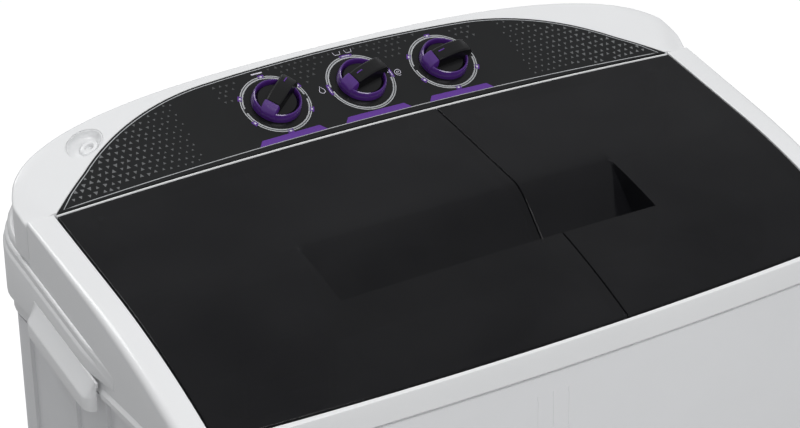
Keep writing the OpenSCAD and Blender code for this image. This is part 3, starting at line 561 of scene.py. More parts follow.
def rear_corner(half, back, steps):
    """Points and outward normals round the rear left corner."""
    cx, cy = BACK_R - half, back - BACK_R
    points = arc(cx, cy, BACK_R, 180, 90, steps)[1:]
    return [((x, y), ((x - cx) / BACK_R, (y - cy) / BACK_R)) for x, y in points]


def mirrored(point):
    return -point[0], point[1]


def rear_stations():
    """Stations of the shelf round the console, from the middle of the back to the left rail."""
    rear = [((-FRAME_HALF, y), (-1, 0)) for y in spread(LINE_Y + 3 * MM, FRAME_BACK - BACK_R, 5)]
    rear += rear_corner(FRAME_HALF, FRAME_BACK, 10)
    rear += [((x, FRAME_BACK), (0, 1)) for x in spread(BACK_R - FRAME_HALF, 0, 4)[1:]]
    return [(point, n, moved(point, n, -SHELF_REACH), 5 * MM, 0, True) for point, n in reversed(rear)]


def frame_stations():
    """Stations: outer point, outward normal, inner point, edge radius, lip, whether on the shelf."""
    half, pocket, r = FRAME_HALF, POCKET_HALF, FRONT_R
    pocket_front = LID_FRONT - 2 * MM
    centre_y = bow(half - r, half, BAND_Y, FRONT_BOW) + r
    inner_y = bow(pocket - POCKET_R, pocket, pocket_front, FRONT_BOW) + POCKET_R
    left = rear_stations()
    for y in spread(LINE_Y + 2.6 * MM, centre_y, 22):
        lip = LIP if y < LIP_BACK else 0
        forward = (LINE_Y - y) / (LINE_Y - centre_y)
        radius = RAIL_R_BACK + (RAIL_R - RAIL_R_BACK) * max(0, forward)
        left.append(((-half, y), (-1, 0), (-pocket, max(y, inner_y)), radius, lip, False))
    for k, n in enumerate(corner_normals(), 1):
        outer = moved((r - half, centre_y), n, r)
        inner = moved((POCKET_R - pocket, inner_y), n, POCKET_R)
        radius = RAIL_R + (BAND_R - RAIL_R) * min(1, k / 7)
        left.append((outer, n, inner, radius, LIP * (1 - k / 8), False))
    for x in spread(r - half, 0, 14)[1:]:
        inner_x = x * (pocket - POCKET_R) / (half - r)
        inner = (inner_x, bow(inner_x, pocket, pocket_front, FRONT_BOW))
        outer = (x, bow(x, half, BAND_Y, FRONT_BOW))
        left.append((outer, front_normal(x, half), inner, BAND_R, 0, False))
    right = [(*[mirrored(point) for point in station[:3]], *station[3:]) for station in reversed(left)]
    return left + right[1:-1]


def frame_section(station):
    """Section of the frame from the cabinet's top edge over the rail and down to the deck."""
    point, n, inner, radius, lip, on_shelf = station
    wall = min(FRAME_WALL, 0.42 * dist(point, inner))
    soft = 0.5 * MM

    def height(x, y):
        return shelf_z(y) if on_shelf else top_z(x, y)

    def out(d, z):
        return (*moved(point, n, -d), z)

    def back(d, z):
        return (*moved(inner, n, d), z)

    edge = height(*moved(point, n, -radius))
    inside = height(*inner)
    low = inside - wall if on_shelf else DECK_Z
    ring = [out(-lip, CAB_TOP), out(-lip, CAB_TOP + 5 * MM), out(-0.3 * lip, CAB_TOP + 7 * MM)]
    ring += [out(0, CAB_TOP + 8 * MM), out(0, (CAB_TOP + edge) / 2)]
    for a in quarter_turn():
        ring.append(out(radius * (1 - cos(a)), edge - radius * (1 - sin(a))))
    x, y = [(p + q) / 2 for p, q in zip(moved(point, n, -radius), moved(inner, n, soft))]
    ring.append((x, y, height(x, y)))
    ring += [back(soft, inside), back(0, inside - soft), back(0, low), back(wall, low)]
    ring.append(back(wall, max(inside - FRAME_WALL, low)))
    ring += [out(wall, edge - max(radius, FRAME_WALL)), out(wall, CAB_TOP)]
    return ring


def make_top_frame():
    shell = loft([frame_section(station) for station in frame_stations()], close=True)
    sides = [make(side) for make in (flange, joint_filler) for side in (-1, 1)]
    piece("top_frame_moulding", merge(shell, *sides), white, replaces="top_frame")


def joint_filler(side):
    """Short upright behind the joint between a rail and the console."""
    x0, x1 = FRAME_HALF - 16 * MM, FRAME_HALF - 4.5 * MM
    y0, y1 = LINE_Y + 0.5 * MM, LINE_Y + 7 * MM
    low, high = shelf_z(y0) - 6 * MM, top_z(x1, y0) - 6 * MM
    points = [(side * x0, y0), (side * x1, y0), (side * x1, y1), (side * x0, y1)]
    return prism(points, low, high)


def flange(side):
    """Raised band on one side that steps out below the rail and wraps the rear corner."""
    path = [((FRAME_HALF, y), (1, 0)) for y in spread(FLANGE_FRONT, FRAME_BACK - BACK_R, 22)]
    for n in arc(0, 0, 1, 0, 58, 8)[1:]:
        path.append((moved((FRAME_HALF - BACK_R, FRAME_BACK - BACK_R), n, BACK_R), n))
    full = FLANGE_HALF - FRAME_HALF
    steps = ((0, 0), (0.45, -1.2), (0.55, -2.0), (0.55, -7.5), (0.9, -9.2), (1, -10.4))
    rings = []
    for point, n in path:
        top = lid_z(point[1]) - FLANGE_DROP
        grown = min(1, 0.05 + (point[1] - FLANGE_FRONT) / FLANGE_RUN_IN)
        section = [(full * out * grown, top + down * MM) for out, down in steps]
        section += [(full * grown, FLANGE_LOW + 1 * MM), ((full - 1 * MM) * grown, FLANGE_LOW)]
        section += [(-1 * MM, FLANGE_LOW), (-1 * MM, top)]
        rings.append([(side * (point[0] + n[0] * d), point[1] + n[1] * d, z) for d, z in section])
    return loft(rings)


def wash_mouth():
    low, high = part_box("wash_tub")
    inset = 17 * MM
    r = 76 * MM
    x0, x1 = low.x + inset + r, high.x - inset - r
    y0, y1 = low.y + inset + r, high.y - inset - r
    corners = ((x1, y0, -90), (x1, y1, 0), (x0, y1, 90), (x0, y0, 180))
    return [point for x, y, a in corners for point in arc(x, y, r, a, a + 90, 10)]


def spin_mouth():
    low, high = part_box("spin_basket")
    centre = (low + high) / 2
    return arc(centre.x, centre.y, (high.x - low.x) / 2 + 2 * MM, 0, 354, 59)


def make_deck():
    """Deck under the lids, with a rolled rim round each tub mouth."""
    half = POCKET_HALF + 1 * MM
    front = [(x, bow(x, half, LID_FRONT - 3 * MM, FRONT_BOW)) for x in spread(-half, half, 24)]
    rear = [(x, bow(x, half, LINE_Y + 1 * MM, -REAR_BOW)) for x in spread(half, -half, 24)]
    bm = bmesh.new()
    edges = []
    mouths = (wash_mouth(), spin_mouth())
    for loop in (front + rear, *mouths):
        verts = [bm.verts.new((x, y, DECK_Z)) for x, y in loop]
        edges += [bm.edges.new((verts[i], verts[(i + 1) % len(verts)])) for i in range(len(verts))]
    bmesh.ops.triangle_fill(bm, use_beauty=True, edges=edges)
    verts = [tuple(v.co) for v in bm.verts]
    bm.verts.index_update()
    faces = [tuple(v.index for v in f.verts) for f in bm.faces]
    bm.free()
    top = (verts, faces)
    under = ([(x, y, z - 3 * MM) for x, y, z in verts], [tuple(reversed(f)) for f in faces])
    piece("top_frame_deck", merge(top, under, *map(rim, mouths)), white, angle=40)


def rim(loop):
    """Rolled bead round a mouth."""
    bead = ((-0.2, -3.2), (-0.2, 0.6), (0.6, 1.8), (2.2, 2.2), (3.8, 1.6), (4.4, 0.2), (4.4, -1), (2, -3.2))
    rings = []
    for i, point in enumerate(loop):
        n = outward(loop[i - 1], loop[(i + 1) % len(loop)])
        rings.append([(*moved(point, n, d), DECK_Z + z) for d, z in scaled(bead)])
    return loft(rings, close=True)


def make_pocket_back():
    """Rear wall of the lid pocket and the white lip in front of the control panel."""
    section = ((0.4, -3.4), (0.4, -1.0), (0.5, -0.7), (0.8, -0.5), (1.2, -0.5), (1.5, -0.8), (1.5, -3.4))
    wall = []
    lip = []
    for x in spread(-PANEL_REACH, PANEL_REACH, 60):
        y = bow(x, PANEL_REACH, LINE_Y, -REAR_BOW)
        face, rear, high = y + 1.3 * MM, y + 1.9 * MM, panel_z(y) - 2.5 * MM
        wall.append([(x, face, DECK_Z), (x, face, high), (x, rear, high), (x, rear, DECK_Z)])
        lip.append([(x, y + a, panel_z(y + a) + b) for a, b in scaled(section)])
    piece("top_frame_rear_wall", loft(wall), white)
    piece("console_front_lip", loft(lip), white)


def make_front_pads():
    """Small ribs behind the front band that the closed lids rest on."""
    shapes = []
    half = 15 * MM
    for x in spread(-322 * MM, 323 * MM, 15):
        y = bow(x, LID_HALF, LID_FRONT, FRONT_BOW)
        y0, y1 = y + 4.5 * MM, y + 12 * MM
        top = min(top_z(x - half, y0), top_z(x + half, y0)) - 3.4 * MM
        points = [(x - half, y0), (x + half, y0), (x + half, y1), (x - half, y1)]
        shapes.append(prism(points, DECK_Z - 0.5 * MM, top))
    piece("top_frame_lid_pads", merge(*shapes), white, bevel=1.6 * MM)


# ---- Console ----

def console_outline():
    """The console in plan, from its right foot round the back to the left one."""
    points = []
    for i in range(121):
        c = cos(pi * i / 120)
        reach = CONSOLE_HALF * abs(c) ** 0.75
        rise = max(0, 1 - (reach / CONSOLE_HALF) ** CONSOLE_POWER) ** (1 / CONSOLE_POWER)
        y = CONSOLE_FRONT + (CONSOLE_DEPTH - CONSOLE_STEP) * rise
        flare = min(1, (y - CONSOLE_FRONT) / CONSOLE_FLARE)
        limit = FRAME_HALF + (CONSOLE_HALF - FRAME_HALF) * flare
        points.append((copysign(min(reach, limit), c), y))
    return points


def panel_right():
    """Right half of the panel's top edge: a tight shoulder, then a wide arc to the middle."""
    turn = 90 - PANEL_TOP_TURN
    top = arc(0, PANEL_TOP_S - PANEL_TOP_R, PANEL_TOP_R, turn, 90, 6)
    return arc(*SHOULDER, SHOULDER_R, 90 - SHOULDER_TURN, turn, 16) + top[1:]


def panel_top_line():
    """Upper outline of the control panel from the right tip to the left tip, as (x, s)."""
    shoulder = panel_right()
    (x0, s0), (x1, s1) = (PANEL_REACH, PANEL_LOW), shoulder[0]
    right = [(x0, s0)]
    for t in (0.25, 0.5, 0.75):
        bulge = PANEL_TIP_BULGE * sin(pi * t)
        right.append((x0 + (x1 - x0) * t + bulge, s0 + (s1 - s0) * t + bulge))
    right += shoulder
    return right + [(-x, s) for x, s in reversed(right[:-1])]


def panel_bottom_s(x):
    return REAR_BOW / cos(TILT) * (1 - (x / PANEL_REACH) ** 2) + PANEL_LOW


def looked_up(table, key):
    """The rest of the row whose first column is key, blended between the two nearest rows."""
    for low, high in zip(table, table[1:]):
        if low[0] <= key <= high[0]:
            t = (key - low[0]) / max(high[0] - low[0], 1e-9)
            return [a + (b - a) * t for a, b in zip(low[1:], high[1:])]
    return table[0][1:] if key < table[0][0] else table[-1][1:]


def crease_drop(x, y):
    """How far the console's outer corners fall away below the panel plane."""
    along = (Vector(CREASE_END) - Vector((PANEL_REACH, LINE_Y))).normalized()
    outside = (abs(x) - PANEL_REACH) * along.y - (y - LINE_Y) * along.x
    return 0.3 * max(0, outside)


def into_console(point, n, d):
    """A rim point moved inwards by d, but never in front of the console's face."""
    x, y = moved(point, n, -d)
    return x, max(y, CONSOLE_FRONT)


def console_section(point, n, inner):
    """Section from the panel's edge at inner, out over the rim at point and back underneath."""
    fx, fy = inner[0], max(inner[1], CONSOLE_FRONT)
    ex, ey = into_console(point, n, CONSOLE_EDGE_R)
    ring = [(fx, fy, panel_z(fy) - 3 * MM)]
    for t in spread(0, 1, 6):
        x, y = fx + (ex - fx) * t, fy + (ey - fy) * t
        ring.append((x, y, panel_z(y) - crease_drop(x, y)))
    edge = ring[-1][2]
    for a in quarter_turn()[1:]:
        x, y = into_console(point, n, CONSOLE_EDGE_R * (1 - sin(a)))
        ring.append((x, y, edge - CONSOLE_EDGE_R * (1 - cos(a))))
    ring.append((*point, shelf_z(point[1]) + 0.3 * MM))
    x, y = into_console(point, n, 3 * MM)
    ring += [(x, y, shelf_z(y) + 0.3 * MM), (x, y, edge - CONSOLE_EDGE_R - 2 * MM)]
    return ring + [(fx, fy, panel_z(fy) - 6.5 * MM)]


def make_console():
    outer = console_outline()
    panel_edge = [(x, s * cos(TILT)) for x, s in panel_top_line()]
    by_angle = sorted((atan2(y, x), x, LINE_Y + y) for x, y in panel_edge)
    last = len(outer) - 1
    rings = []
    for i, (x, y) in enumerate(outer):
        n = outward(outer[max(i - 1, 0)], outer[min(i + 1, last)])
        if i in (0, last):
            n = (copysign(1, x), 0)
        rings.append(console_section((x, y), n, looked_up(by_angle, atan2(y - LINE_Y, x))))
    housing = piece("console_moulding", loft(rings), white, replaces="console_housing")
    cut_inlet(housing)
    make_inlet()


def inlet_place(radius, a, n, shift=0.0):
    """Point on an oval round the inlet, in panel coordinates; shift moves it towards the boss."""
    turn = radians(24)
    u, v = 22.5 * MM * radius * cos(a), 13.5 * MM * radius * sin(a)
    x = INLET[0] + u * cos(turn) - v * sin(turn) + 5 * MM * shift
    s = INLET[1] + u * sin(turn) + v * cos(turn) - 2 * MM * shift
    return on_panel(x, s, n)


def cut_inlet(housing):
    shape = loft([[inlet_place(1, a, n) for a in full_turn(48)] for n in (-12 * MM, 12 * MM)])
    cutter = add_object("inlet_cutter", new_mesh("inlet_cutter", shape))
    cut = housing.modifiers.new("inlet", "BOOLEAN")
    set_all(cut, object=cutter, operation="DIFFERENCE", solver="EXACT")
    bpy.context.view_layer.update()
    evaluated = housing.evaluated_get(bpy.context.evaluated_depsgraph_get())
    housing.data = bpy.data.meshes.new_from_object(evaluated)
    housing.modifiers.clear()
    smooth_by_angle(housing.data, 32)
    bpy.data.objects.remove(cutter)


def make_inlet():
    """Dished water inlet with its off-centre spigot, as (oval size, depth in mm, shift to the spigot)."""
    profile = (
        (1.0, -0.6, 0), (0.97, -1.6, 0), (0.92, -4.5, 0), (0.84, -7.6, 0),
        (0.72, -9, 0.1), (0.56, -9.4, 0.7), (0.46, -9.0, 1), (0.42, -6.0, 1),
        (0.38, -5.2, 1), (0.28, -5.2, 1), (0.25, -6, 1), (0.24, -9.5, 1),
    )
    rings = [[inlet_place(r, a, n * MM, shift) for a in full_turn(48)] for r, n, shift in profile]
    floor = (rings[-1], [tuple(range(48))])
    shape = merge(loft(rings, caps=False), floor)
    cup = piece("inlet_cup", shape, white, replaces="inlet_fitting", angle=50)
    thicken(cup, 1.0 * MM)


# ---- Control panel ----

def panel_outline(inset):
    """Closed outline of the panel in (x, s), pulled in evenly."""
    bottom = [(x, panel_bottom_s(x)) for x in spread(-PANEL_REACH, PANEL_REACH, 60)][1:-1]
    loop = panel_top_line() + bottom
    result = []
    for i, (x, s) in enumerate(loop):
        x0, s0 = loop[i - 1]
        x1, s1 = loop[(i + 1) % len(loop)]
        a = Vector((x - x0, s - s0)).normalized()
        b = Vector((x1 - x, s1 - s)).normalized()
        normal = Vector((-(a.y + b.y), a.x + b.x)).normalized()
        share = max(0.45, normal.dot(Vector((-a.y, a.x))))
        result.append((x + normal.x * inset / share, s + normal.y * inset / share))
    return result


def ribbon(points, width, lift=0.0, closed=False):
    """A thin raised line of ink along points of the panel."""
    last = len(points) - 1
    corners = ((1, INK_LOW), (1, INK_HIGH), (-1, INK_HIGH), (-1, INK_LOW))
    rings = []
    for i, point in enumerate(points):
        before = points[i - 1] if closed or i else point
        after = points[(i + 1) % (last + 1)] if closed or i < last else point
        side = outward(before, after)
        rings.append([on_panel(*moved(point, side, k * width / 2), n + lift) for k, n in corners])
    return loft(rings, close=closed)


def make_panel():
    plate = prism(panel_outline(0.35 * MM), -2.8 * MM, -0.05 * MM, on_panel)
    piece("control_panel", plate, fascia_black, replaces="control_fascia", bevel=0.35 * MM)


def print_ink(name, shapes, ink):
    piece(name, merge(*shapes), ink, angle=60)


def stripe_s(x):
    """Height of the lower pinstripe: close to the panel's edge at the tips, higher in the middle."""
    return panel_bottom_s(x) + (2.0 + 3.9 * (1 - (x / PANEL_REACH) ** 2)) * MM


def make_pinstripes():
    top = panel_outline(2.6 * MM)[:len(panel_top_line())]
    bottom = [(x, stripe_s(x)) for x in spread(-STRIPE_REACH, STRIPE_REACH, 60)]
    print_ink("panel_pinstripe", [ribbon(top[2:-2] + bottom, 0.8 * MM, closed=True)], ink_light)


def inside_panel(x, s, margin):
    top = looked_up(sorted(panel_top_line()), x)[0]
    return stripe_s(x) + margin <= s < top - margin * 1.6


def near_graphics(x, s):
    return any(hypot(x - cx, s - cs) < 43 * MM for cx, cs in KNOBS)


def pattern_density(x, s):
    """Size of the triangles at a point, as a share: full at both tips, less along the top edge."""
    tip = min(1, max(0, (abs(x) - 175 * MM) / (90 * MM)))
    middle = 0.62 if abs(x - 8 * MM) < 150 * MM and s > 78 * MM else 0
    return max(tip, middle)


def make_pattern():
    """Small scattered triangles, in staggered rows over the whole panel."""
    rng = random.Random(7)
    shapes = []
    pitch = 7.6 * MM
    row = pitch * 0.86
    for j in range(int(118 * MM / row)):
        for i in range(-48, 49):
            x = (i + 0.5 * (j % 2)) * pitch + rng.uniform(-0.8, 0.8) * MM
            s = j * row + rng.uniform(-0.8, 0.8) * MM
            size = pattern_density(x, s)
            if size < 0.15 or not inside_panel(x, s, 3.5 * MM) or near_graphics(x, s):
                continue
            r = (1.15 + 1.25 * size) * MM * rng.uniform(0.8, 1.1)
            start = rng.choice((90, -90)) + rng.uniform(-12, 12)
            corners = arc(x, s, r, start, start + 240, 2)
            shapes.append(prism(corners, INK_LOW, INK_HIGH, on_panel))
    print_ink("panel_triangles", shapes, ink_grey)


def dial_arc(centre, r, width, a0, a1, lift=0.0):
    """An arc of ink round a knob; r and width in mm."""
    steps = max(3, int(abs(a1 - a0) / 5))
    return ribbon(arc(*centre, r * MM, a0, a1, steps), width * MM, lift)


def make_dials():
    """Silver rings with purple marks round each knob, and a purple tab below it."""
    silver = []
    marks = []
    centres = []
    tabs = []
    for index, centre in enumerate(KNOBS):
        silver.append(dial_arc(centre, 35.6, 1.1, 0, 359))
        silver.append(dial_arc(centre, 33.4, 1.5, 5, 175))
        silver.append(dial_arc(centre, 33.4, 1.5, 185, 355))
        angles, r, wide, reach, thin, short = SELECTOR_MARKS if index == 1 else TIMER_MARKS
        for a in angles:
            marks.append(dial_arc(centre, r, wide, a - reach, a + reach))
            centres.append(dial_arc(centre, r, thin, a - short, a + short, 0.06 * MM))
        tabs.append(tab(centre[0] - 3 * MM))
    print_ink("panel_dial_rings", silver, ink_light)
    print_ink("panel_dial_marks", marks, ink_purple)
    print_ink("panel_mark_centres", centres, ink_white)
    print_ink("panel_tabs", tabs, ink_purple)


def tab(x):
    """Tab with rounded upper corners that stands on the lower pinstripe."""
    half, r = 38 * MM, 3 * MM
    rise = 6.9 * MM - r
    base = [(a, stripe_s(a) + 0.2 * MM) for a in spread(x - half, x + half, 10)]
    top = arc(x + half - 7 * MM, base[-1][1] + rise, r, 20, 90, 4)
    top += arc(x - half + 7 * MM, base[0][1] + rise, r, 90, 160, 4)
    return prism(base + top, INK_LOW, INK_HIGH * 1.4, on_panel)


def make_icons():
    """Plain pictograms: two basins, a drop and a spiral round the selector, a bar over the first timer."""
    x, s = KNOBS[1]
    timer_x, timer_s = KNOBS[0]
    line = 0.6 * MM
    shapes = []
    for middle in (x - 6 * MM, x + 7 * MM):
        basin = scaled(((-4, 43.5), (-3, 39.5), (3, 39.5), (4, 43.5)))
        shapes.append(ribbon([(middle + a, s + b) for a, b in basin], line))
    drop = arc(x - 44 * MM, s + 1 * MM, 3 * MM, 150, 390, 10) + [(x - 44 * MM, s + 7 * MM)]
    shapes.append(ribbon(drop, line, closed=True))
    spiral = []
    for k in range(26):
        a = k * 0.45
        r = (0.6 + 0.16 * k) * MM
        spiral.append((x + 44 * MM + r * cos(a), s + 1 * MM + r * sin(a)))
    shapes.append(ribbon(spiral, line))
    bar = [(timer_x + a * MM, timer_s + 41 * MM) for a in (-7, 5)]
    shapes.append(ribbon(bar, 1.6 * MM))
    print_ink("panel_icons", shapes, ink_white)


# ---- Knobs ----

def knob_frame(index, angle):
    """Places (u, v, n) on a knob: u along its pointer, n out of the panel."""
    x, s = KNOBS[index]
    cosine, sine = cos(radians(angle)), sin(radians(angle))

    def place(u, v, n):
        return on_panel(x + u * cosine - v * sine, s + u * sine + v * cosine, n)

    return place


def knob_ring(place, u, section):
    """One section across a knob at u, all in mm."""
    return [place(u * MM, v, n) for v, n in scaled(section)]


def facet_shape(place):
    """Faceted tail that fills the ring behind the grip."""
    rings = []
    for u, half, high in FACETS:
        section = [(-half, 3), (-half, high - 3.0), (-half + 1.4, high - 0.6)]
        section += [(half - 1.4, high), (half, high - 1.2), (half, 3)]
        rings.append(knob_ring(place, u, section))
    return loft(rings)


def grip_shape(place):
    rings = []
    for u, half, high in GRIP:
        low = 4.4 + max(0, u - 20) * 0.8
        side = [(half - 2.2, high), (half - 0.7, high - 1.2), (half, high - 5), (half + 1.4, low)]
        section = [(-v, n) for v, n in reversed(side)] + side
        rings.append(knob_ring(place, u, section))
    return merge(revolve(GRIP_DISC, place), loft(rings))


def line_shape(place, at_tail):
    """Purple pointer line let into the top of the grip."""
    u0, h0, u1, h1 = (-10, 17.4, -3, 18.6) if at_tail else (14, 18.7, 21, 17.5)
    rings = []
    for u, h in ((u0, h0), ((u0 + u1) / 2, (h0 + h1) / 2 + 0.2), (u1, h1)):
        rings.append(knob_ring(place, u, ((1.2, h - 0.6), (1.2, h + 0.35), (2.4, h + 0.35), (2.4, h - 0.6))))
    return loft(rings)


def make_knobs():
    knobs = (
        ("wash_knob", "wash_timer_knob", 0, 38, False),
        ("selector_knob", "selector_knob", 1, 16, True),
        ("spin_knob", "spin_timer_knob", 2, 7, True),
    )
    for name, body, index, angle, at_tail in knobs:
        place = knob_frame(index, angle)
        ring_parts = merge(revolve(SKIRT, place), facet_shape(place))
        piece(name + "_ring", ring_parts, purple, body, name + "_skirt", 34)
        piece(name + "_handle", grip_shape(place), knob_black, body, name + "_grip", 34)
        piece(name + "_line", line_shape(place, at_tail), ink_purple, body)


def make_wells():
    """Black sunken ring between each knob and its printed dial."""
    profile = ((25.7, -0.5), (25.7, 0.12), (31.0, 0.3), (31.8, 0.1), (31.8, -0.5))
    shapes = [revolve(profile, knob_frame(index, 0)) for index in range(3)]
    piece("panel_knob_wells", merge(*shapes), knob_black)


# ---- Lids ----

def scoop_depth(x, y):
    """Depth of the finger scoop: a soft ramp from the back, steep walls at the sides and in front."""
    across = min(1, max(0, (SCOOP_HALF - abs(x)) / SCOOP_WALL))
    ramp = min(1, max(0, (SCOOP_BACK - y) / (SCOOP_BACK - SCOOP_FRONT - SCOOP_FLAT)))
    front = min(1, max(0, (y - SCOOP_FRONT) / SCOOP_WALL))
    return SCOOP_DEEP * across * ramp * ramp * (3 - 2 * ramp) * front


def at_bracket(x):
    """True over a hinge bracket, where the lids' rear hem stops short."""
    return any(abs(x - b) < BRACKET_GAP + 0.1 * MM for b in BRACKETS)


def lid_columns(x0, x1):
    """(x, drop) from left to right; columns keep to the scoop's walls and the hinge brackets."""
    edges = [side * (SCOOP_HALF - d) for side in (-1, 1) for d in (0, SCOOP_WALL / 2, SCOOP_WALL)]
    for x in BRACKETS:
        edges += [x + side * (BRACKET_GAP + d) for side in (-1, 1) for d in (0, 0.4 * MM)]
    edges = [x for x in edges if x0 < x < x1]
    inner = spread(x0 + 5 * MM, x1 - 5 * MM, int((x1 - x0) / (9 * MM)))
    inner = [x for x in inner if all(abs(x - e) > 2.5 * MM for e in edges)]
    columns = [(x0 + d, drop) for d, drop in scaled(LID_EDGE)]
    columns += [(x, 0) for x in sorted(inner + edges)]
    return columns + [(x1 - d, drop) for d, drop in reversed(scaled(LID_EDGE))]


def lid_rows(x):
    """(y, drop) from front to back at x; rows keep to the scoop's straight edges."""
    front = bow(x, LID_HALF, LID_FRONT, FRONT_BOW)
    back = bow(x, LID_HALF, LINE_Y - LID_REAR_GAP, -REAR_BOW)
    flat = spread(front + 6 * MM, SCOOP_FRONT - 3 * MM, 10)
    flat += [SCOOP_FRONT, SCOOP_FRONT + SCOOP_WALL / 2, SCOOP_FRONT + SCOOP_WALL]
    flat += spread(SCOOP_FRONT + 5 * MM, SCOOP_BACK - 4 * MM, 20)
    flat += spread(SCOOP_BACK, back - 6 * MM, 10)
    rows = [(front + d, drop) for d, drop in scaled(LID_EDGE)]
    rows += [(y, 0) for y in flat]
    return rows + [(back - d, drop) for d, drop in reversed(scaled(LID_EDGE))]


def lid_surface(x0, x1):
    rings = []
    for x, side_drop in lid_columns(x0, x1):
        ring = []
        for y, end_drop in lid_rows(x):
            if y > HINGE_Y and at_bracket(x):
                end_drop = min(end_drop, BRACKET_HEM)
            ring.append((x, y, top_z(x, y) - scoop_depth(x, y) - max(side_drop, end_drop)))
        rings.append(ring)
    return loft(rings, wrap=False, caps=False)


def hinge_ear(x, toward):
    """Ear under the lid's rear edge with its pin, which runs into the bracket at x."""
    top = top_z(x, HINGE_Y) - 1.5 * MM
    outline = arc(HINGE_Y, HINGE_Z, 6 * MM, -215, 35, 20)
    outline += [(HINGE_Y + 5 * MM, top), (HINGE_Y - 5 * MM, top)]
    ear_x = x + toward * 9.5 * MM
    ear = loft([[(ear_x + d, y, z) for y, z in outline] for d in (-3 * MM, 3 * MM)])
    ends = sorted((x - toward * 4 * MM, ear_x))
    pin = loft([[(px, y, z) for y, z in arc(HINGE_Y, HINGE_Z, 2.95 * MM, 0, 345, 23)] for px in ends])
    return merge(ear, pin)


def make_lids():
    lids = (
        ("wash_lid", -LID_HALF, WASH_LID_END, BRACKETS[:2]),
        ("spin_lid", SPIN_LID_START, LID_HALF, BRACKETS[2:]),
    )
    for name, x0, x1, (left, right) in lids:
        body = name + "_body"
        shell = piece(name + "_panel", lid_surface(x0, x1), smoked, body, name, 38)
        thicken(shell, LID_WALL)
        ears = merge(hinge_ear(left, 1), hinge_ear(right, -1))
        piece(name + "_hinge_ears", ears, dark_grey, body, angle=30)


# ---- Handles and cabinet ----

def handle_shape(side):
    """Carrying handle: a sloped top, an upright face and an open hollow underneath, tapered at both ends."""
    outer = ((-1.6, 12.6), (-0.5, 13.8), (0, 15.2), (0, 27), (-0.8, 27.8), (-3, 27.8), (-3.4, 16.5))
    ends = ((0, 0.3), (1.5, 0.62), (4, 0.84), (8, 0.96), (12, 1))
    y0, y1 = HANDLE_LOW.y, HANDLE_HIGH.y
    places = [(y0 + d * MM, k) for d, k in ends]
    places += [(y, 1) for y in spread(y0 + 18 * MM, y1 - 18 * MM, 12)]
    places += [(y1 - d * MM, k) for d, k in reversed(ends)]
    rings = []
    for y, k in places:
        top = lid_z(y) - HANDLE_DROP
        full = (HANDLE_HIGH.x - HANDLE_LOW.x) * k
        section = [(-1.5 * MM, 0), (0.4 * MM, 0.2 * MM)]
        section += [(full + d, drop) for d, drop in scaled(outer)]
        section += [(0, 4.5 * MM), (-1.5 * MM, 4.5 * MM)]
        rings.append([(side * (HANDLE_LOW.x + d), y, top - drop) for d, drop in section])
    return loft(rings)


def make_handles():
    for name, side in (("handle_left", -1), ("handle_right", 1)):
        piece(name + "_grip", handle_shape(side), white, replaces=name, angle=28)


def groove_inset(y):
    return GROOVE_DEPTH if any(front * MM < y < back * MM for front, back in GROOVES) else 0


def cabinet_path():
    """Points round the cabinet with normals and the depth of the side grooves there."""
    half, r = CAB_HALF, FRONT_R
    centre_y = bow(half - r, half, CAB_FRONT, FRONT_BOW) + r
    ys = [55 * MM, -10 * MM, -90 * MM, centre_y]
    for groove in GROOVES:
        ys += [edge * MM + d for edge in groove for d in (-0.8 * MM, 0.8 * MM)]
    left = [((x, CAB_BACK), (0, 1), 0) for x in (0, -100 * MM, -210 * MM, -225 * MM)]
    left += [(point, n, 0) for point, n in reversed(rear_corner(half, CAB_BACK, 12))]
    ys = [y for y in sorted(ys, reverse=True) if y < CAB_BACK - BACK_R]
    left += [((-half, y), (-1, 0), groove_inset(y)) for y in ys]
    left += [(moved((r - half, centre_y), n, r), n, 0) for n in corner_normals()]
    for x in spread(r - half, 0, 12)[1:]:
        left.append(((x, bow(x, half, CAB_FRONT, FRONT_BOW)), front_normal(x, half), 0))
    right = [(mirrored(point), mirrored(n), groove) for point, n, groove in reversed(left)]
    return left + right[1:-1]


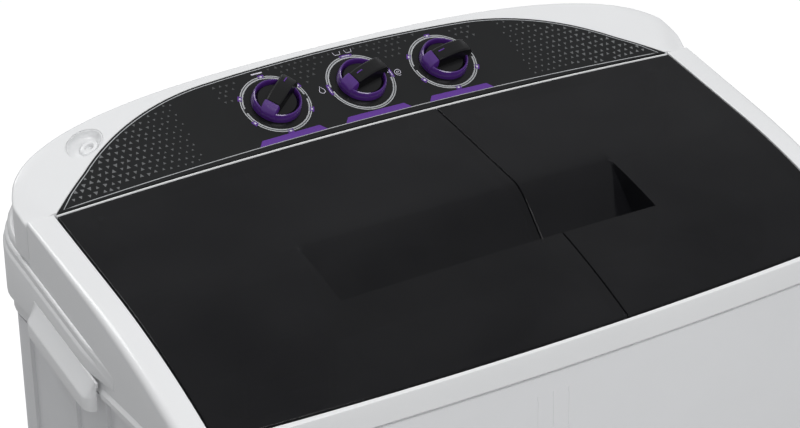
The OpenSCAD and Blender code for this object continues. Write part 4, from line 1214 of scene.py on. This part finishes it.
def make_cabinet():
    step = 1.8 * MM
    rows = [(CAB_BOTTOM, 0, 0), (CAB_BOTTOM + 29 * MM, 0, 0), (CAB_BOTTOM + 31 * MM, 1, 0)]
    rows += [(z, 1, 0) for z in spread(CAB_BOTTOM + 120 * MM, CAB_TOP - 60 * MM, 4)]
    rows += [(CAB_TOP - 5.4 * MM, 1, 0), (CAB_TOP - 5 * MM, 1, step), (CAB_TOP, 1, step)]
    rings = []
    for point, n, groove in cabinet_path():
        ring = [(*moved(point, n, -max(groove * k, inset)), z) for z, k, inset in rows]
        ring += [(*moved((x, y), n, -CAB_WALL), z) for x, y, z in reversed(ring)]
        rings.append(ring)
    shape = merge(loft(rings, close=True), *front_ribs())
    piece("cabinet_wrap", shape, white_matt, replaces="cabinet_shell", angle=20)


def front_ribs():
    """Three fine upright beads with round tops on the front panel."""
    tips = ((-4, 0.6), (-3, 1.2), (-1, 1.7), (1, 1.7), (2.4, 1.0))
    heights = [(CAB_BOTTOM + 60 * MM, 0.6 * MM)] + [(RIB_TOP + z, half) for z, half in scaled(tips)]
    shapes = []
    for x in (-33 * MM, -16 * MM, 1 * MM):
        y = bow(x, CAB_HALF, CAB_FRONT, FRONT_BOW)
        face, root = y - 0.22 * MM, y + 0.6 * MM
        rings = []
        for z, half in heights:
            outline = ((-half, root), (-half * 0.6, face), (half * 0.6, face), (half, root))
            rings.append([(x + d, depth, z) for d, depth in outline])
        shapes.append(loft(rings))
    return shapes


# ---- CAD nodes that keep their own shape ----

def dress_nodes():
    looks = {
        white_matt: "base_pan",
        black_rubber: "rubber_feet cord_gland spin_shaft_seal drive_belt spin_motor_springs",
        zinc: "back_cover back_cover_screws drive_plate spin_motor_plate "
            "brake_bracket spin_shaft brake_lever",
        grey: "fill_pipe drain_box drain_outlet spin_drain_pipe wash_drain_pipe capacitor",
        dark_grey: "wash_timer program_selector spin_timer terminal_box gearbox_pulley motor_pulley",
        tub_white: "wash_tub spin_tub filter_bracket overflow_cover spin_basket spin_cover",
        white: "hinge_brackets balance_ring",
        aluminium: "wash_gearbox",
        motor_paint: "wash_motor spin_motor",
        blue: "pulsator",
        purple: "pulsator_cap",
        lilac: "lint_filter",
        red: "drain_plunger",
    }
    for material, names in looks.items():
        for name in names.split():
            for slot in frame["nodes"][name].material_slots:
                set_all(slot, link="OBJECT", material=material)


def main():
    make_camera()
    make_world()
    make_floor()
    make_lights()
    bpy.context.scene.view_settings.view_transform = "Standard"
    make_top_frame()
    make_deck()
    make_pocket_back()
    make_front_pads()
    make_console()
    make_panel()
    make_pinstripes()
    make_pattern()
    make_dials()
    make_icons()
    make_wells()
    make_knobs()
    make_lids()
    make_handles()
    make_cabinet()
    dress_nodes()


main()
